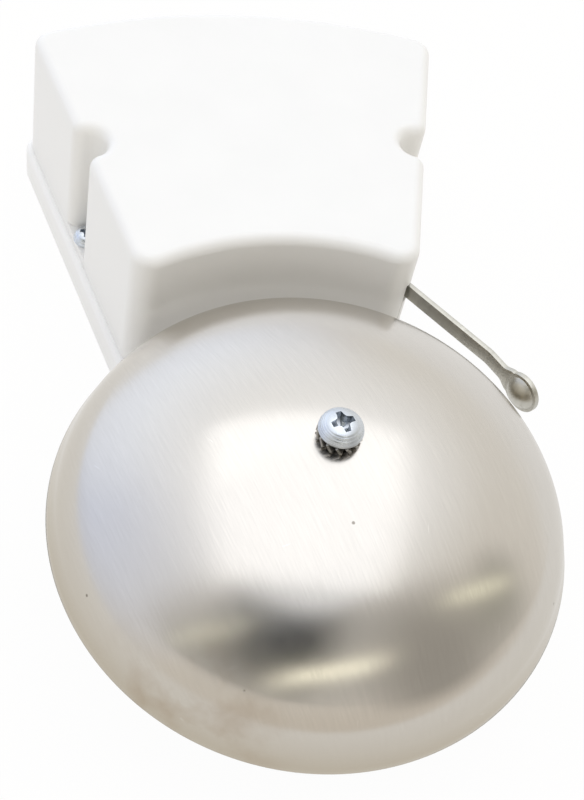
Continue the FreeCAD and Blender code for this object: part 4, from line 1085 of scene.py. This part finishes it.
for side in ("left", "right"):
    low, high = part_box("winding_" + side)
    axis_x = (low.x + high.x) / 2
    axis_z = (low.z + high.z) / 2
    outer_radius = (high.x - low.x) / 2
    wire, turns = helix_wire(axis_x, axis_z, low.y, high.y, outer_radius)
    drum_radius = outer_radius - wire_radius * 1.1
    coil_length = high.y - low.y
    drum_outline = [(drum_bore, 0), (drum_radius, 0), (drum_radius, coil_length), (drum_bore, coil_length)]
    drum = to_object("drum", lathe(drum_outline, 64, closed=True))
    drum.data.transform(Matrix.Translation((axis_x, high.y, axis_z)) @ lie_down)
    coil = join("coil_wire_" + side, [drum, to_object("wire", wire)])
    make_piece(coil, "enamelled_copper", "root", "winding_" + side, crease=60)
    print(turns, "turns of wire")

# %% [markdown]
# The contact screw is the one the owner turns to tune the bell, so its thread is real here. A helix of ridges
# laid on a rod would only rest on it. Instead the rod's own surface climbs by one pitch a turn: the radius at
# a point depends only on how far round and how far along it is. The thread fades out towards the tip. The
# first and the last ring are single points on the axis, which the weld closes.

# %% Thread
thread_radius = 1.5 * MM
thread_pitch = 0.5 * MM
thread_depth = 0.22 * MM
tip_length = 0.8 * MM
thread_segments = 36
rows_in_pitch = 8


def thread_mesh(radius, length):
    """Threaded rod on the Z axis, from its tip at -length up to z = 0."""
    rows = round(length / thread_pitch * rows_in_pitch)
    rings = [[(0, 0, -length)] * thread_segments]
    for row in range(rows + 1):
        z = -length + length * row / rows
        full = smooth_step(z + length, 0, tip_length)
        ring = []
        for i in range(thread_segments):
            phase = (z / thread_pitch - i / thread_segments) % 1.0
            r = radius * (0.82 + 0.18 * full) - thread_depth * full * abs(2 * phase - 1) ** 1.2
            turn = 2 * math.pi * i / thread_segments
            ring.append((r * math.cos(turn), r * math.sin(turn), z))
        rings.append(ring)
    rings.append([(0, 0, 0)] * thread_segments)
    return weld(skin(rings))


contact_low, contact_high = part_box("contact_screw")
head_length = 2 * MM
shank_length = contact_high.y - contact_low.y - head_length
thread = to_object("thread", thread_mesh(thread_radius, shank_length))
print("thread has", round(shank_length / thread_pitch, 1), "turns")

# %% [markdown]
# The head is a small knob with softened edges, and a plain slot for a screwdriver. The slot is cut out as the
# cross recess was: faces set in by hand would have to be moved again with each change of size.

# %% Contact screw
head_radius = (contact_high.x - contact_low.x) / 2
head_soft = 0.25 * MM
knob_outline = [(0, 0), (head_radius - head_soft, 0), (head_radius, head_soft),
                (head_radius, head_length - head_soft), (head_radius - head_soft, head_length),
                (0, head_length)]
knob = to_object("knob", lathe(knob_outline, 64, closed=False))
slot_half = head_radius * 0.13
slot_reach = head_radius * 1.2
slot_corners = ((-slot_reach, -slot_half), (slot_reach, -slot_half), (slot_reach, slot_half),
                (-slot_reach, slot_half))
slot_cutter = to_object("slot_cutter", skin([[(x, y, head_length * share) for x, y in slot_corners]
                                             for share in (0.4, 1.2)]))
cut_out(knob, slot_cutter, 0.05 * MM)
contact = join("contact_screw_threaded", [knob, thread])
contact_seat = Vector(((contact_low.x + contact_high.x) / 2, contact_low.y + head_length,
                       (contact_low.z + contact_high.z) / 2))
contact.data.transform(Matrix.Translation(contact_seat) @ lie_down)
make_piece(contact, "brass", "contact_screw", "contact_screw")

# %% [markdown]
# All other pieces keep the frame's own shape. Each gets the finish that the record names for it. The loop
# goes through the record's list and not through a list of its own, so a piece can never be forgotten.

# %% Dress the frame's own pieces
for row in frame["record"]["subparts"]:
    node = frame["nodes"][row["node"]]
    node.data.materials.clear()
    node.data.materials.append(FINISHES[row["material_slot"]])

# %% [markdown] Nothing made here may stand out of the frame's own box.
